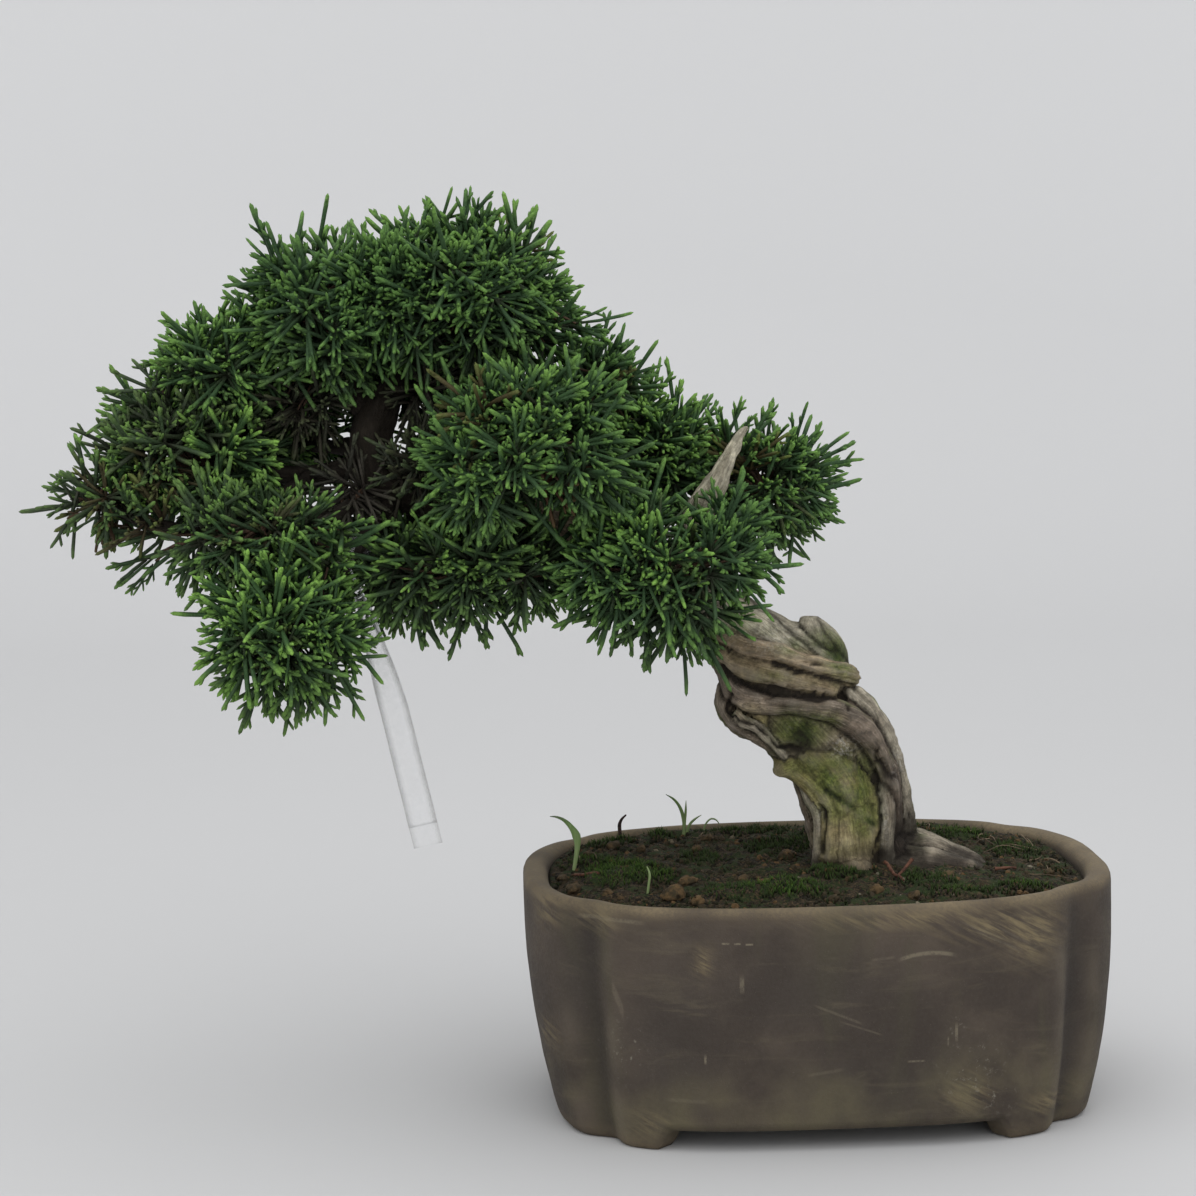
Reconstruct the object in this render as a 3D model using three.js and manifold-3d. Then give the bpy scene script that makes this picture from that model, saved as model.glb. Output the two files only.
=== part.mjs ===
// A Chinese juniper bonsai in a dark stoneware pot: a leaning, twisted trunk with bleached deadwood,
// cord-like foliage in rounded clouds, a mossy root ball, three seedlings and a clear label strip.
// Millimetres, +Z up. The tree is laid out from the middle of the pot's foot, x to the right of the
// front view and y to the back, and the whole is moved at the end so that the origin is the bottom
// centre of its box.
import * as THREE from "three";
import { ConvexGeometry } from "three/addons/geometries/ConvexGeometry.js";
import { mergeVertices } from "three/addons/utils/BufferGeometryUtils.js";
import Module from "manifold-3d";

const wasm = await Module();
wasm.setup();

// Driving dimensions
const CLEARANCE = 0.4; // between pieces that touch on the real tree
const THIN_CLEARANCE = 0.35; // the same, round the seedlings' stems
const POT = {
  halfLength: 90,
  halfDepth: 70.5,
  height: 73,
  rimCorner: 2.8, // exponents of the plan's rounded rectangle
  footCorner: 3.3,
  wall: 8,
  floorTop: 14,
  floorUnder: 6,
  taper: 8.5, // how far the foot stands in from the rim at the ends
  frontTaper: 0.8, // of that, at the front and back
  creaseDepth: 0.055, // of the plan's radius
  creaseAngle: 39.5, // degrees, from the long axis
  creaseWidth: 4.5,
  footBand: 10, // width of the feet's undersides
  footGapFront: 47, // half the gap between two feet
  footGapEnd: 16,
  drainX: 40,
  drainRadius: 7.5,
};
const MESH = { size: 22, thick: 0.8, pitch: 9, opening: 7 };
const SOIL = {
  edgeTop: 70,
  mound: 3.2,
  lump: 0.7,
  rings: [1, 0.85, 0.58, 0.28], // of the top, in shares of the way from its middle to its edge
};
const STRIP = { width: 9, thick: 0.6, loopRadius: 4.2 };
const SHOOT = {
  foot: 2.2, // the stem's radius where it leaves the core
  stem: 1.05, // and where it forks
  fork: 0.36, // where along its length it splits
  spread: 4, // of the tips
  lean: 0.32, // the most that the spread may be of the reach
  least: 6, // reach
  shortest: 0.95, // reach of the tips, in shares of the cloud's radii
  longest: 1.2,
  wobble: 0.3, // of the direction
  air: 0.5, // kept free round it
  shrink: 0.88, // of the reach, for as long as something is in the way
};
const CORE_SHARE = 0.6; // of a cloud's radii
const WALL_GAP = 0.5; // from a cloud to the wall it shares with its neighbour
const FIRST_SEED = 7; // of the clouds' random numbers

const COLOURS = {
  pot: "#4d4338",
  wood: "#8d7a66",
  soil: "#3a3226",
  leaf: "#2f5f25",
  leafDark: "#264f22",
  mesh: "#2b2b2b",
  grass: "#6f9455",
  stalk: "#4b3a33",
  strip: "#d9dde0",
};

const vec = (x, y, z) => new THREE.Vector3(x, y, z);
const rad = THREE.MathUtils.degToRad;

// A small seeded generator, so that every build is the same.
function seeded(seed) {
  let state = seed >>> 0;
  return () => {
    state = (state + 0x6d2b79f5) >>> 0;
    let t = Math.imul(state ^ (state >>> 15), 1 | state);
    t = (t + Math.imul(t ^ (t >>> 7), 61 | t)) ^ t;
    return ((t ^ (t >>> 14)) >>> 0) / 4294967296;
  };
}

// Solids

function solidOf(geometry) {
  const bare = new THREE.BufferGeometry();
  bare.setAttribute("position", geometry.getAttribute("position"));
  if (geometry.index) bare.setIndex(geometry.index);
  const merged = mergeVertices(bare, 1e-4);
  return new wasm.Manifold(
    new wasm.Mesh({
      numProp: 3,
      vertProperties: new Float32Array(merged.attributes.position.array),
      triVerts: new Uint32Array(merged.index.array),
    }),
  );
}

function geometryOf(solid) {
  const mesh = solid.getMesh();
  const geometry = new THREE.BufferGeometry();
  geometry.setAttribute("position", new THREE.BufferAttribute(mesh.vertProperties, 3));
  geometry.setIndex(new THREE.BufferAttribute(mesh.triVerts, 1));
  return geometry;
}

const joined = (solids) => solids.reduce((whole, next) => whole.add(next));

// The largest body of a solid, without the scraps that a cut leaves.
function mainBody(solid) {
  return solid.decompose().reduce((best, body) => (body.volume() > best.volume() ? body : best));
}

// A closed skin over rings of equal count, each counter-clockwise seen from the last ring's side.
function loft(rings) {
  const count = rings[0].length;
  const points = rings.flat();
  const faces = [];
  for (let r = 0; r + 1 < rings.length; r++) {
    for (let i = 0; i < count; i++) {
      const a = r * count + i;
      const b = r * count + ((i + 1) % count);
      faces.push(a, b, b + count, a, b + count, a + count);
    }
  }
  const middle = (ring) => ring.reduce((sum, p) => sum.add(p), vec(0, 0, 0)).divideScalar(count);
  const first = points.push(middle(rings[0])) - 1;
  const last = points.push(middle(rings[rings.length - 1])) - 1;
  const top = (rings.length - 1) * count;
  for (let i = 0; i < count; i++) {
    const next = (i + 1) % count;
    faces.push(first, next, i, last, top + i, top + next);
  }
  const geometry = new THREE.BufferGeometry();
  geometry.setAttribute("position", new THREE.Float32BufferAttribute(points.flatMap((p) => p.toArray()), 3));
  geometry.setIndex(faces);
  return geometry;
}

// Frames carried along a curve without spin, as [point, tangent, side, up].
function framesAlong(points, steps) {
  const curve = new THREE.CatmullRomCurve3(points, false, "centripetal");
  const frames = [];
  let side = null;
  for (let i = 0; i <= steps; i++) {
    const tangent = curve.getTangent(i / steps);
    if (!side) {
      const helper = Math.abs(tangent.z) > 0.9 ? vec(0, 1, 0) : vec(0, 0, 1);
      side = helper.cross(tangent).normalize();
    }
    side = side.clone().addScaledVector(tangent, -side.dot(tangent)).normalize();
    frames.push([curve.getPoint(i / steps), tangent, side, tangent.clone().cross(side)]);
  }
  return frames;
}

// A limb through [x, y, z, radius] stations, its round section made uneven by lobes that turn along it.
function limb(stations, { sides = 6, steps = 6, lobes = [], twist = 0, flat = 1, grow = 0 } = {}) {
  const points = stations.map(([x, y, z]) => vec(x, y, z));
  const radiusAt = (t) => {
    const place = t * (stations.length - 1);
    const low = Math.min(Math.floor(place), stations.length - 2);
    return THREE.MathUtils.lerp(stations[low][3], stations[low + 1][3], place - low);
  };
  const rings = framesAlong(points, steps).map(([at, , side, up], ring) => {
    const t = ring / steps;
    return Array.from({ length: sides }, (_, i) => {
      const angle = (i / sides) * 2 * Math.PI;
      const wave = lobes.reduce(
        (sum, [order, depth, phase]) => sum + depth * Math.cos(order * (angle - twist * t) + phase),
        1,
      );
      const radius = radiusAt(t) * wave + grow;
      return at
        .clone()
        .addScaledVector(side, radius * Math.cos(angle))
        .addScaledVector(up, radius * flat * Math.sin(angle));
    });
  });
  return solidOf(loft(rings));
}

// Pot: a rounded rectangle in plan with a soft crease near each corner, on four corner feet

// Angles of the plan's points, in one quarter and all round, closer together at the creases.
const QUARTER = [12, 22, 29, 34.5, 39.5, 44.5, 51, 62, 76];
const PLAN_ANGLES = [0, 180]
  .flatMap((turn) => [turn, turn + 90, ...QUARTER.flatMap((angle) => [turn + angle, turn + 180 - angle])])
  .sort((a, b) => a - b)
  .map(rad);

function planPoint(angle, halfLength, halfDepth, corner, crease) {
  const c = Math.abs(Math.cos(angle));
  const s = Math.abs(Math.sin(angle));
  const radius = ((c / halfLength) ** corner + (s / halfDepth) ** corner) ** (-1 / corner);
  const fromCrease = THREE.MathUtils.radToDeg(Math.atan2(s, c)) - POT.creaseAngle;
  const dent = 1 - crease * POT.creaseDepth * Math.exp(-((fromCrease / POT.creaseWidth) ** 2));
  return [radius * dent * Math.cos(angle), radius * dent * Math.sin(angle)];
}

function planRing(z, inset) {
  const height = THREE.MathUtils.clamp(z / POT.height, 0, 1);
  const corner = THREE.MathUtils.lerp(POT.footCorner, POT.rimCorner, height);
  const crease = THREE.MathUtils.clamp(1.6 - 1.2 * height, 0.4, 1);
  const halfLength = POT.halfLength - inset;
  const halfDepth = POT.halfDepth - inset * POT.frontTaper;
  return PLAN_ANGLES.map((angle) => vec(...planPoint(angle, halfLength, halfDepth, corner, crease), z));
}

const taperAt = (z) => POT.taper * ((POT.height - z) / POT.height) ** 1.6;

// The inside of the wall from its floor up, as [height, inset] steps.
const INSIDE = [
  [POT.floorTop, taperAt(POT.floorTop) + POT.wall + 2],
  [POT.floorTop + 3, taperAt(POT.floorTop) + POT.wall],
  [38, taperAt(38) + POT.wall],
  [POT.height - 5, POT.wall],
];

const FOOT_EDGE = 2.2; // the rounding of the feet's and the rim's edges
const RIM_EDGE = 2.4;

const skin = (steps) => solidOf(loft(steps.map(([z, inset]) => planRing(z, inset))));

// The space between two feet, cut through the pot from side to side.
function footArch(gap, reach, turn) {
  const arch = new THREE.Shape([
    new THREE.Vector2(-gap - 4, -1),
    new THREE.Vector2(gap + 4, -1),
    new THREE.Vector2(gap + 1.5, POT.floorUnder - 1.5),
    new THREE.Vector2(gap - 1, POT.floorUnder),
    new THREE.Vector2(1 - gap, POT.floorUnder),
    new THREE.Vector2(-gap - 1.5, POT.floorUnder - 1.5),
  ]);
  const cut = new THREE.ExtrudeGeometry(arch, { depth: 2 * reach, bevelEnabled: false });
  cut.translate(0, 0, -reach);
  cut.rotateX(rad(90));
  cut.rotateZ(rad(turn));
  return solidOf(cut);
}

function drainHole(side) {
  const hole = new THREE.CylinderGeometry(POT.drainRadius, POT.drainRadius, 2 * POT.floorTop, 14);
  hole.rotateX(rad(90));
  hole.translate(side * POT.drainX, 0, POT.floorTop);
  return solidOf(hole);
}

function potBody() {
  const outside = skin([
    [0, taperAt(0) + FOOT_EDGE],
    [1.5, taperAt(0) + FOOT_EDGE / 4],
    [POT.floorUnder, taperAt(POT.floorUnder)],
    [26, taperAt(26)],
    [48, taperAt(48)],
    [POT.height - 3, 0],
    [POT.height - 0.8, RIM_EDGE / 4],
    [POT.height, RIM_EDGE],
  ]);
  const inside = skin([...INSIDE, [POT.height - 1, POT.wall - 0.8], [POT.height + 1, POT.wall - RIM_EDGE]]);
  const band = taperAt(0) + FOOT_EDGE + POT.footBand;
  const recess = skin([[-1, band], [POT.floorUnder, band + 1]]);
  return outside
    .subtract(inside)
    .subtract(recess)
    .subtract(footArch(POT.footGapFront, POT.halfDepth, 0))
    .subtract(footArch(POT.footGapEnd, POT.halfLength, 90))
    .subtract(drainHole(-1))
    .subtract(drainHole(1));
}

// A square of plastic mesh over a drain hole.
function drainMesh(side) {
  const block = (width, thick, x, y) => {
    const box = new THREE.BoxGeometry(width, width, thick);
    box.translate(side * POT.drainX + x, y, POT.floorTop + THIN_CLEARANCE + MESH.thick / 2);
    return solidOf(box);
  };
  const places = [-MESH.pitch / 2, MESH.pitch / 2];
  const openings = places.flatMap((x) => places.map((y) => block(MESH.opening, 3 * MESH.thick, x, y)));
  return block(MESH.size, MESH.thick, 0, 0).subtract(joined(openings));
}

// Wood: stations are [x, y, z, radius]

const TRUNK_LINE = [
  [14.5, 6.5, 46, 13],
  [14.5, 4.5, 60, 17],
  [14.5, 3.5, 70, 16.5],
  [14, 3.5, 82, 14.5],
  [11, 2.5, 95.5, 15.5],
  [6, 1.5, 107.5, 17],
  [-2.5, 1.5, 119.5, 19],
  [-11.5, 2.5, 131, 17],
  [-23, 3.5, 142, 14.5],
  [-37, 4.5, 152.5, 12.5],
  [-53.5, 7.5, 164, 10.5],
  [-74.5, 8.5, 176, 9.5],
  [-95, 7.5, 185.5, 8.8],
  [-116, 5.5, 190, 8.6],
  [-130, 3.5, 196.5, 8.2],
  [-133.5, 3.5, 208.5, 7],
  [-127.5, 6.5, 221.5, 5.6],
  [-116, 8.5, 234, 4.4],
  [-103, 5.5, 246, 2.8],
];

const DEADWOOD = {
  liveVein: [
    [24, 0.5, 66, 6.4],
    [25, -2.5, 72, 6.4],
    [24.5, -4.5, 88, 5.8],
    [21.5, -6.5, 104, 6],
    [15, -9.5, 116, 6.2],
    [7.5, -12.5, 123.5, 5.8],
    [-5.5, -13.5, 127.5, 5.4],
    [-19.5, -9.5, 132, 5],
    [-31.5, -4.5, 140, 4.4],
    [-42, -0.5, 152.5, 3],
  ],
  upperStrand: [
    [14.5, -8.5, 131, 3.6],
    [9.5, -10.5, 134, 4.6],
    [-0.5, -12.5, 137.5, 5.2],
    [-13.5, -10.5, 142, 5.8],
    [-26, -6.5, 148, 6.2],
    [-42, 0.5, 157.5, 4],
  ],
  stump: [
    [4.5, 5.5, 125.5, 8],
    [4.5, 3.5, 136.5, 7],
    [3, 2.5, 144.5, 5.2],
    [1, 2.5, 149, 3.4],
  ],
  shoulder: [
    [1.5, 3.5, 134.5, 8],
    [-9, 3.5, 144.5, 7],
    [-22, 3.5, 153, 6],
    [-36, 4.5, 159.5, 4],
  ],
  leftLip: [
    [-18.5, -2.5, 140, 3],
    [-26.5, -3.5, 134, 3.2],
    [-27.5, -4.5, 126, 3.2],
    [-22, -6.5, 119, 3.4],
    [-13, -8.5, 112, 3.2],
    [-6, -9.5, 104.5, 2.6],
  ],
  knob: [
    [-1, -3.5, 102.5, 5],
    [-7, -5.5, 100, 3],
    [-10.5, -5.5, 100, 1.8],
  ],
  lowerLip: [
    [-4.5, -4.5, 96.5, 2.6],
    [0, -6.5, 89.5, 3],
    [2, -6.5, 80.5, 3.2],
    [4, -4, 70, 2],
  ],
  belly: [
    [7, -5.5, 110.5, 7],
    [11.5, -7.5, 95, 7.6],
    [14.5, -8, 80, 8],
    [15, -4, 68, 7],
  ],
  spike: [
    [-39, 2.5, 155.5, 8],
    [-35.5, -0.5, 171.5, 6.6],
    [-31.5, -1.5, 185, 5.2],
    [-25, -2.5, 197, 3.4],
    [-18, -3.5, 209, 1.2],
  ],
};

const ROOTS = [
  [[20, 5, 69, 8.5], [34, 8, 72, 6.4], [45, 10, 71, 5.6], [55, 11, 68, 4.4], [63, 12, 61, 2.4]],
  [[12, 12, 65, 8], [4, 26, 66, 6], [-6, 38, 60, 4], [-12, 45, 52, 2.5]],
  [[20, 12, 65, 8], [32, 28, 65, 5.5], [42, 39, 57, 3.5]],
  [[8, 0, 65, 8], [-8, -6, 63, 5], [-22, -10, 53, 3]],
];

// Clouds of foliage: where each sits, its radii, and the branch that carries it into its middle.
const CLOUDS = [
  { name: "crown_right", at: [-99, 2, 251], radii: [42, 36, 31], branch: null },
  {
    name: "crown_left",
    at: [-148, 4, 248],
    radii: [35, 34, 29],
    branch: [
      [-132.5, 4.5, 210.5, 4.2],
      [-139.5, 4.5, 223.5, 3.2],
      [-146, 3.5, 238, 2.4],
      [-148, 3.5, 247, 1.6],
    ],
  },
  {
    name: "crown_back",
    at: [-122, 46, 237],
    radii: [42, 30, 30],
    branch: [
      [-130.5, 6.5, 215.5, 3.6],
      [-127.5, 23.5, 225.5, 2.8],
      [-124, 37.5, 233.5, 2.2],
      [-123, 44.5, 237.5, 1.6],
    ],
  },
  {
    name: "shoulder_left",
    at: [-183, 8, 234],
    radii: [28, 30, 21],
    branch: [
      [-138.5, 4.5, 220.5, 3],
      [-156.5, 7, 223, 2.6],
      [-172.5, 8, 229.5, 2.1],
      [-182, 8, 233.5, 1.5],
    ],
  },
  {
    name: "left_middle",
    at: [-189, 7, 203],
    radii: [36, 31, 27],
    branch: [
      [-131, 3.5, 200.5, 4],
      [-151, 6, 197, 3.2],
      [-171, 7, 198.5, 2.4],
      [-185, 7, 200.5, 1.7],
    ],
  },
  {
    name: "left_back",
    at: [-171, 46, 206],
    radii: [36, 28, 27],
    branch: [
      [-132, 5.5, 204.5, 3.4],
      [-147, 21.5, 205, 2.7],
      [-160.5, 37, 206, 2.1],
      [-169.5, 45, 207.5, 1.5],
    ],
  },
  {
    name: "left_tip",
    at: [-221, -2, 193],
    radii: [22, 19, 18],
    branch: [
      [-153, 4, 196, 2.8],
      [-171.5, -10, 184.5, 2.4],
      [-195.5, -9, 183, 2],
      [-219, -2, 191.5, 1.4],
    ],
  },
  {
    name: "left_front",
    at: [-166, -20, 182],
    radii: [32, 21, 20],
    branch: [
      [-131, 1.5, 191.5, 3],
      [-143.5, -8, 186, 2.5],
      [-155.5, -16, 183, 1.9],
      [-164.5, -20, 183, 1.4],
    ],
  },
  {
    name: "left_ball",
    at: [-162, -26, 149],
    radii: [31, 28, 28],
    branch: [
      [-126, 2.5, 188.5, 3.8],
      [-134.5, -8.5, 179.5, 3],
      [-141.5, -16, 168.5, 2.6],
      [-154, -24, 156, 2.1],
      [-161, -26, 150, 1.5],
    ],
  },
  {
    name: "middle_front",
    at: [-87, -30, 203],
    radii: [37, 27, 31],
    branch: [
      [-85.5, 7.5, 180.5, 4],
      [-86, -6.5, 188.5, 3],
      [-87, -20.5, 198.5, 2.3],
      [-88, -31.5, 204.5, 1.6],
    ],
  },
  {
    name: "middle_low",
    at: [-102, -10, 169],
    radii: [40, 26, 20],
    branch: [
      [-101, 6.5, 187, 3.4],
      [-102.5, -0.5, 179, 2.8],
      [-102.5, -8.5, 171, 2],
      [-102.5, -10.5, 167, 1.5],
    ],
  },
  {
    name: "right_low",
    at: [-45, -24, 168],
    radii: [38, 27, 29],
    branch: [
      [-43, 3.5, 156.5, 4.2],
      [-43, -6.5, 159.5, 3.2],
      [-44, -18.5, 163.5, 2.3],
      [-44, -25.5, 165.5, 1.6],
    ],
  },
  {
    name: "right_back",
    at: [-53, 22, 208],
    radii: [34, 27, 28],
    branch: [
      [-50, 8.5, 162.5, 3.8],
      [-50.5, 15.5, 181.5, 3],
      [-52, 20.5, 197.5, 2.2],
      [-52.5, 21.5, 206, 1.6],
    ],
  },
  {
    name: "far_right",
    at: [-9, 29, 192],
    radii: [30, 28, 28],
    branch: [
      [-32, 7.5, 154.5, 4],
      [-21.5, 17.5, 169, 3.2],
      [-13, 26.5, 183, 2.2],
      [-9, 29.5, 190, 1.6],
    ],
  },
  {
    name: "middle_back",
    at: [-87, 52, 201],
    radii: [36, 28, 30],
    branch: [
      [-81.5, 9.5, 180.5, 3.8],
      [-83, 25.5, 188.5, 2.9],
      [-86, 41.5, 196.5, 2.2],
      [-87, 50.5, 199.5, 1.6],
    ],
  },
  {
    name: "low_back",
    at: [-128, 34, 170],
    radii: [36, 26, 20],
    branch: [
      [-109, 6.5, 189, 3.2],
      [-117.5, 17.5, 182, 2.6],
      [-124.5, 28.5, 174.5, 2],
      [-127.5, 33.5, 171.5, 1.5],
    ],
  },
];

const BODY_LOBES = [[3, 0.07, 0.4], [5, 0.05, 1.3], [8, 0.025, 0]];
const STRAND_LOBES = [[2, 0.1, 0.5], [3, 0.08, 1.9]];

// Every limb of the tree, or the same limbs grown by a clearance to cut their sockets.
function woodLimbs(grow) {
  const trunk = limb(TRUNK_LINE, { sides: 12, steps: 26, lobes: BODY_LOBES, twist: 2.4, flat: 0.88, grow });
  const strands = Object.values(DEADWOOD).map((line) =>
    limb(line, { sides: 7, steps: line.length, lobes: STRAND_LOBES, twist: 1.5, grow }),
  );
  const roots = ROOTS.map((line) => limb(line, { sides: 6, steps: 4, grow }));
  const branches = CLOUDS.filter((cloud) => cloud.branch).map((cloud) =>
    limb(cloud.branch, { sides: 5, steps: 5, grow }),
  );
  return joined([trunk, ...strands, ...roots, ...branches]);
}

// Distance from a point to the surface of the nearest limb, taking limbs as chains of round-ended rods.
const WOOD_RODS = [TRUNK_LINE, ...Object.values(DEADWOOD), ...CLOUDS.map((cloud) => cloud.branch)]
  .filter(Boolean)
  .flatMap((line) => line.slice(1).map((end, i) => [line[i], end]));

function woodDistance(point) {
  let nearest = Infinity;
  const closest = vec(0, 0, 0);
  for (const [a, b] of WOOD_RODS) {
    const rod = new THREE.Line3(vec(a[0], a[1], a[2]), vec(b[0], b[1], b[2]));
    const t = rod.closestPointToPointParameter(point, true);
    rod.at(t, closest);
    nearest = Math.min(nearest, closest.distanceTo(point) - THREE.MathUtils.lerp(a[3], b[3], t));
  }
  return nearest;
}

// Label strip: a clear tape looped over the branch of the hanging cloud, its two ends stuck together

const STRIP_TOP = vec(-138, -12, 174);
const STRIP_LINE = [
  vec(-137, -13, 170.5),
  vec(-134.5, -16, 156.5),
  vec(-127.5, -18, 127.5),
  vec(-119, -19, 85),
];
const STRIP_TURN = [80, 55, 12, 8]; // degrees that the tape's width stands from the front view's plane

const STRIP_AXIS = vec(-7, -8, -11).normalize(); // of the loop, along the branch

function labelStrip() {
  const inner = STRIP.loopRadius;
  const outer = inner + STRIP.thick;
  const half = STRIP.width / 2;
  const section = [[inner, -half], [outer, -half], [outer, half], [inner, half], [inner, -half]];
  const profile = section.map(([radius, along]) => new THREE.Vector2(radius, along));
  const loop = new THREE.LatheGeometry(profile, 12);
  loop.applyQuaternion(new THREE.Quaternion().setFromUnitVectors(vec(0, 1, 0), STRIP_AXIS));
  loop.translate(...STRIP_TOP.toArray());
  const steps = 7;
  const rings = framesAlong(STRIP_LINE, steps).map(([at, tangent], i) => {
    const place = (i / steps) * (STRIP_TURN.length - 1);
    const low = Math.min(Math.floor(place), STRIP_TURN.length - 2);
    const turn = rad(THREE.MathUtils.lerp(STRIP_TURN[low], STRIP_TURN[low + 1], place - low));
    const across = vec(Math.cos(turn), -Math.sin(turn), 0);
    across.addScaledVector(tangent, -across.dot(tangent)).normalize();
    const through = tangent.clone().cross(across);
    return [[1, 1], [-1, 1], [-1, -1], [1, -1]].map(([u, v]) =>
      at
        .clone()
        .addScaledVector(across, (u * STRIP.width) / 2)
        .addScaledVector(through, (v * STRIP.thick) / 2),
    );
  });
  return solidOf(loop).add(solidOf(loft(rings)));
}

function stripDistance(point) {
  let nearest = STRIP_TOP.distanceTo(point) - Math.hypot(STRIP.loopRadius + STRIP.thick, STRIP.width / 2);
  const closest = vec(0, 0, 0);
  for (let i = 0; i + 1 < STRIP_LINE.length; i++) {
    new THREE.Line3(STRIP_LINE[i], STRIP_LINE[i + 1]).closestPointToPoint(point, true, closest);
    nearest = Math.min(nearest, closest.distanceTo(point) - STRIP.width / 2);
  }
  return nearest;
}

// Foliage

// Walls half way between neighbouring clouds, shared out by their radii, that keep them apart.
function wallsOf(cloud) {
  const at = vec(...cloud.at);
  return CLOUDS.filter((other) => other !== cloud).map((other) => {
    const across = vec(...other.at).sub(at);
    const gap = across.length();
    across.normalize();
    const reach = (c) => Math.hypot(c.radii[0] * across.x, c.radii[1] * across.y, c.radii[2] * across.z);
    const share = reach(cloud) / (reach(cloud) + reach(other));
    const middle = at.clone().addScaledVector(across, gap * share);
    return new THREE.Plane().setFromNormalAndCoplanarPoint(across, middle);
  });
}

const GOLDEN_TURN = Math.PI * (3 - Math.sqrt(5));

// A cloud: a small many-sided core with a forked shoot raised from each face that looks outwards.
function foliageCloud(cloud, seed) {
  const random = seeded(seed);
  const centre = vec(...cloud.at);
  const walls = wallsOf(cloud);
  const wallRoom = (point) => Math.min(...walls.map((wall) => -wall.distanceToPoint(point))) - WALL_GAP;
  const size = (cloud.radii[0] + cloud.radii[1] + cloud.radii[2]) / 3;
  const count = Math.round(11 + size * 0.35);
  const seeds = Array.from({ length: count }, (_, i) => {
    const height = 1 - (2 * i + 1) / count;
    const turn = i * GOLDEN_TURN + seed;
    const level = Math.sqrt(1 - height * height);
    const core = vec(level * Math.cos(turn), level * Math.sin(turn), height);
    core.multiply(vec(...cloud.radii)).multiplyScalar(CORE_SHARE * (0.92 + 0.16 * random()));
    while (wallRoom(core.clone().add(centre)) < 0.3) core.multiplyScalar(0.95);
    return core.add(centre);
  });
  const hull = new ConvexGeometry(seeds).getAttribute("position");
  const points = [];
  const face = (...corners) => points.push(...corners.flatMap((p) => p.toArray()));
  for (let f = 0; f < hull.count; f += 3) {
    const corners = [0, 1, 2].map((i) => new THREE.Vector3().fromBufferAttribute(hull, f + i));
    const shoot = shootOn(corners, cloud, centre, wallRoom, random);
    if (!shoot) {
      face(...corners);
      continue;
    }
    const { foot, fork, middle, tips } = shoot;
    for (let i = 0; i < 3; i++) {
      const j = (i + 1) % 3;
      face(corners[i], corners[j], foot[j]);
      face(corners[i], foot[j], foot[i]);
      face(foot[i], foot[j], fork[j]);
      face(foot[i], fork[j], fork[i]);
      face(fork[i], fork[j], tips[i]);
      face(fork[j], middle, tips[i]);
      face(middle, fork[i], tips[i]);
    }
  }
  const geometry = new THREE.BufferGeometry();
  geometry.setAttribute("position", new THREE.Float32BufferAttribute(points, 3));
  return solidOf(geometry);
}

// One shoot on a face of the core: a three-sided stem that forks into three pointed prongs.
function shootOn(corners, cloud, centre, wallRoom, random) {
  const root = corners[0].clone().add(corners[1]).add(corners[2]).divideScalar(3);
  const normal = corners[1].clone().sub(corners[0]).cross(corners[2].clone().sub(corners[0])).normalize();
  const inner = Math.min(
    ...corners.map((corner, i) => {
      const edge = new THREE.Line3(corner, corners[(i + 1) % 3]);
      return edge.closestPointToPoint(root, true, vec(0, 0, 0)).distanceTo(root);
    }),
  );
  if (inner < SHOOT.stem) return null;
  const outward = root.clone().sub(centre);
  const scaled = outward.clone().divide(vec(...cloud.radii)).length();
  const wobble = vec(random() - 0.5, random() - 0.5, random() - 0.2).multiplyScalar(SHOOT.wobble);
  const along = normal.clone().add(outward.clone().normalize()).add(wobble).normalize();
  const share = THREE.MathUtils.lerp(SHOOT.shortest, SHOOT.longest, random());
  let reach = outward.length() * (1 / scaled - 1) * share;
  const blocked = (length) =>
    [0.35, 0.6, 0.8, 1].some((part) => {
      const point = root.clone().addScaledVector(along, length * part);
      const halfWidth = 0.8 * (part > SHOOT.fork ? SHOOT.spread * part : SHOOT.foot);
      return Math.min(wallRoom(point), woodDistance(point), stripDistance(point)) < SHOOT.air + halfWidth;
    });
  while (reach > SHOOT.least && blocked(reach)) reach *= SHOOT.shrink;
  if (reach < SHOOT.least) return null;
  const triangle = (radius, at) =>
    corners.map((corner) => at.clone().addScaledVector(corner.clone().sub(root).normalize(), radius));
  const foot = triangle(Math.min(SHOOT.foot, inner * 0.9), root);
  const middle = root.clone().addScaledVector(along, reach * SHOOT.fork);
  const fork = triangle(SHOOT.stem, middle);
  const spread = Math.min(SHOOT.spread, reach * SHOOT.lean);
  const tips = fork.map((point, i) => {
    const aside = point.clone().add(fork[(i + 1) % 3]).multiplyScalar(0.5).sub(middle).normalize();
    const length = reach * (1 - SHOOT.fork) * (0.85 + 0.3 * random());
    return middle.clone().addScaledVector(along, length).addScaledVector(aside, spread);
  });
  return { foot, fork, middle, tips };
}

// Soil, filling the pot to just under its rim, with plain holes for roots and stems

function soilTop(x, y, edge) {
  const lumps = Math.sin(x * 0.23 + 1) * Math.cos(y * 0.29) + 0.6 * Math.sin(x * 0.51 - y * 0.43);
  return SOIL.edgeTop + SOIL.mound * (1 - edge * edge) + SOIL.lump * lumps * (1 - edge ** 4);
}

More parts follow.
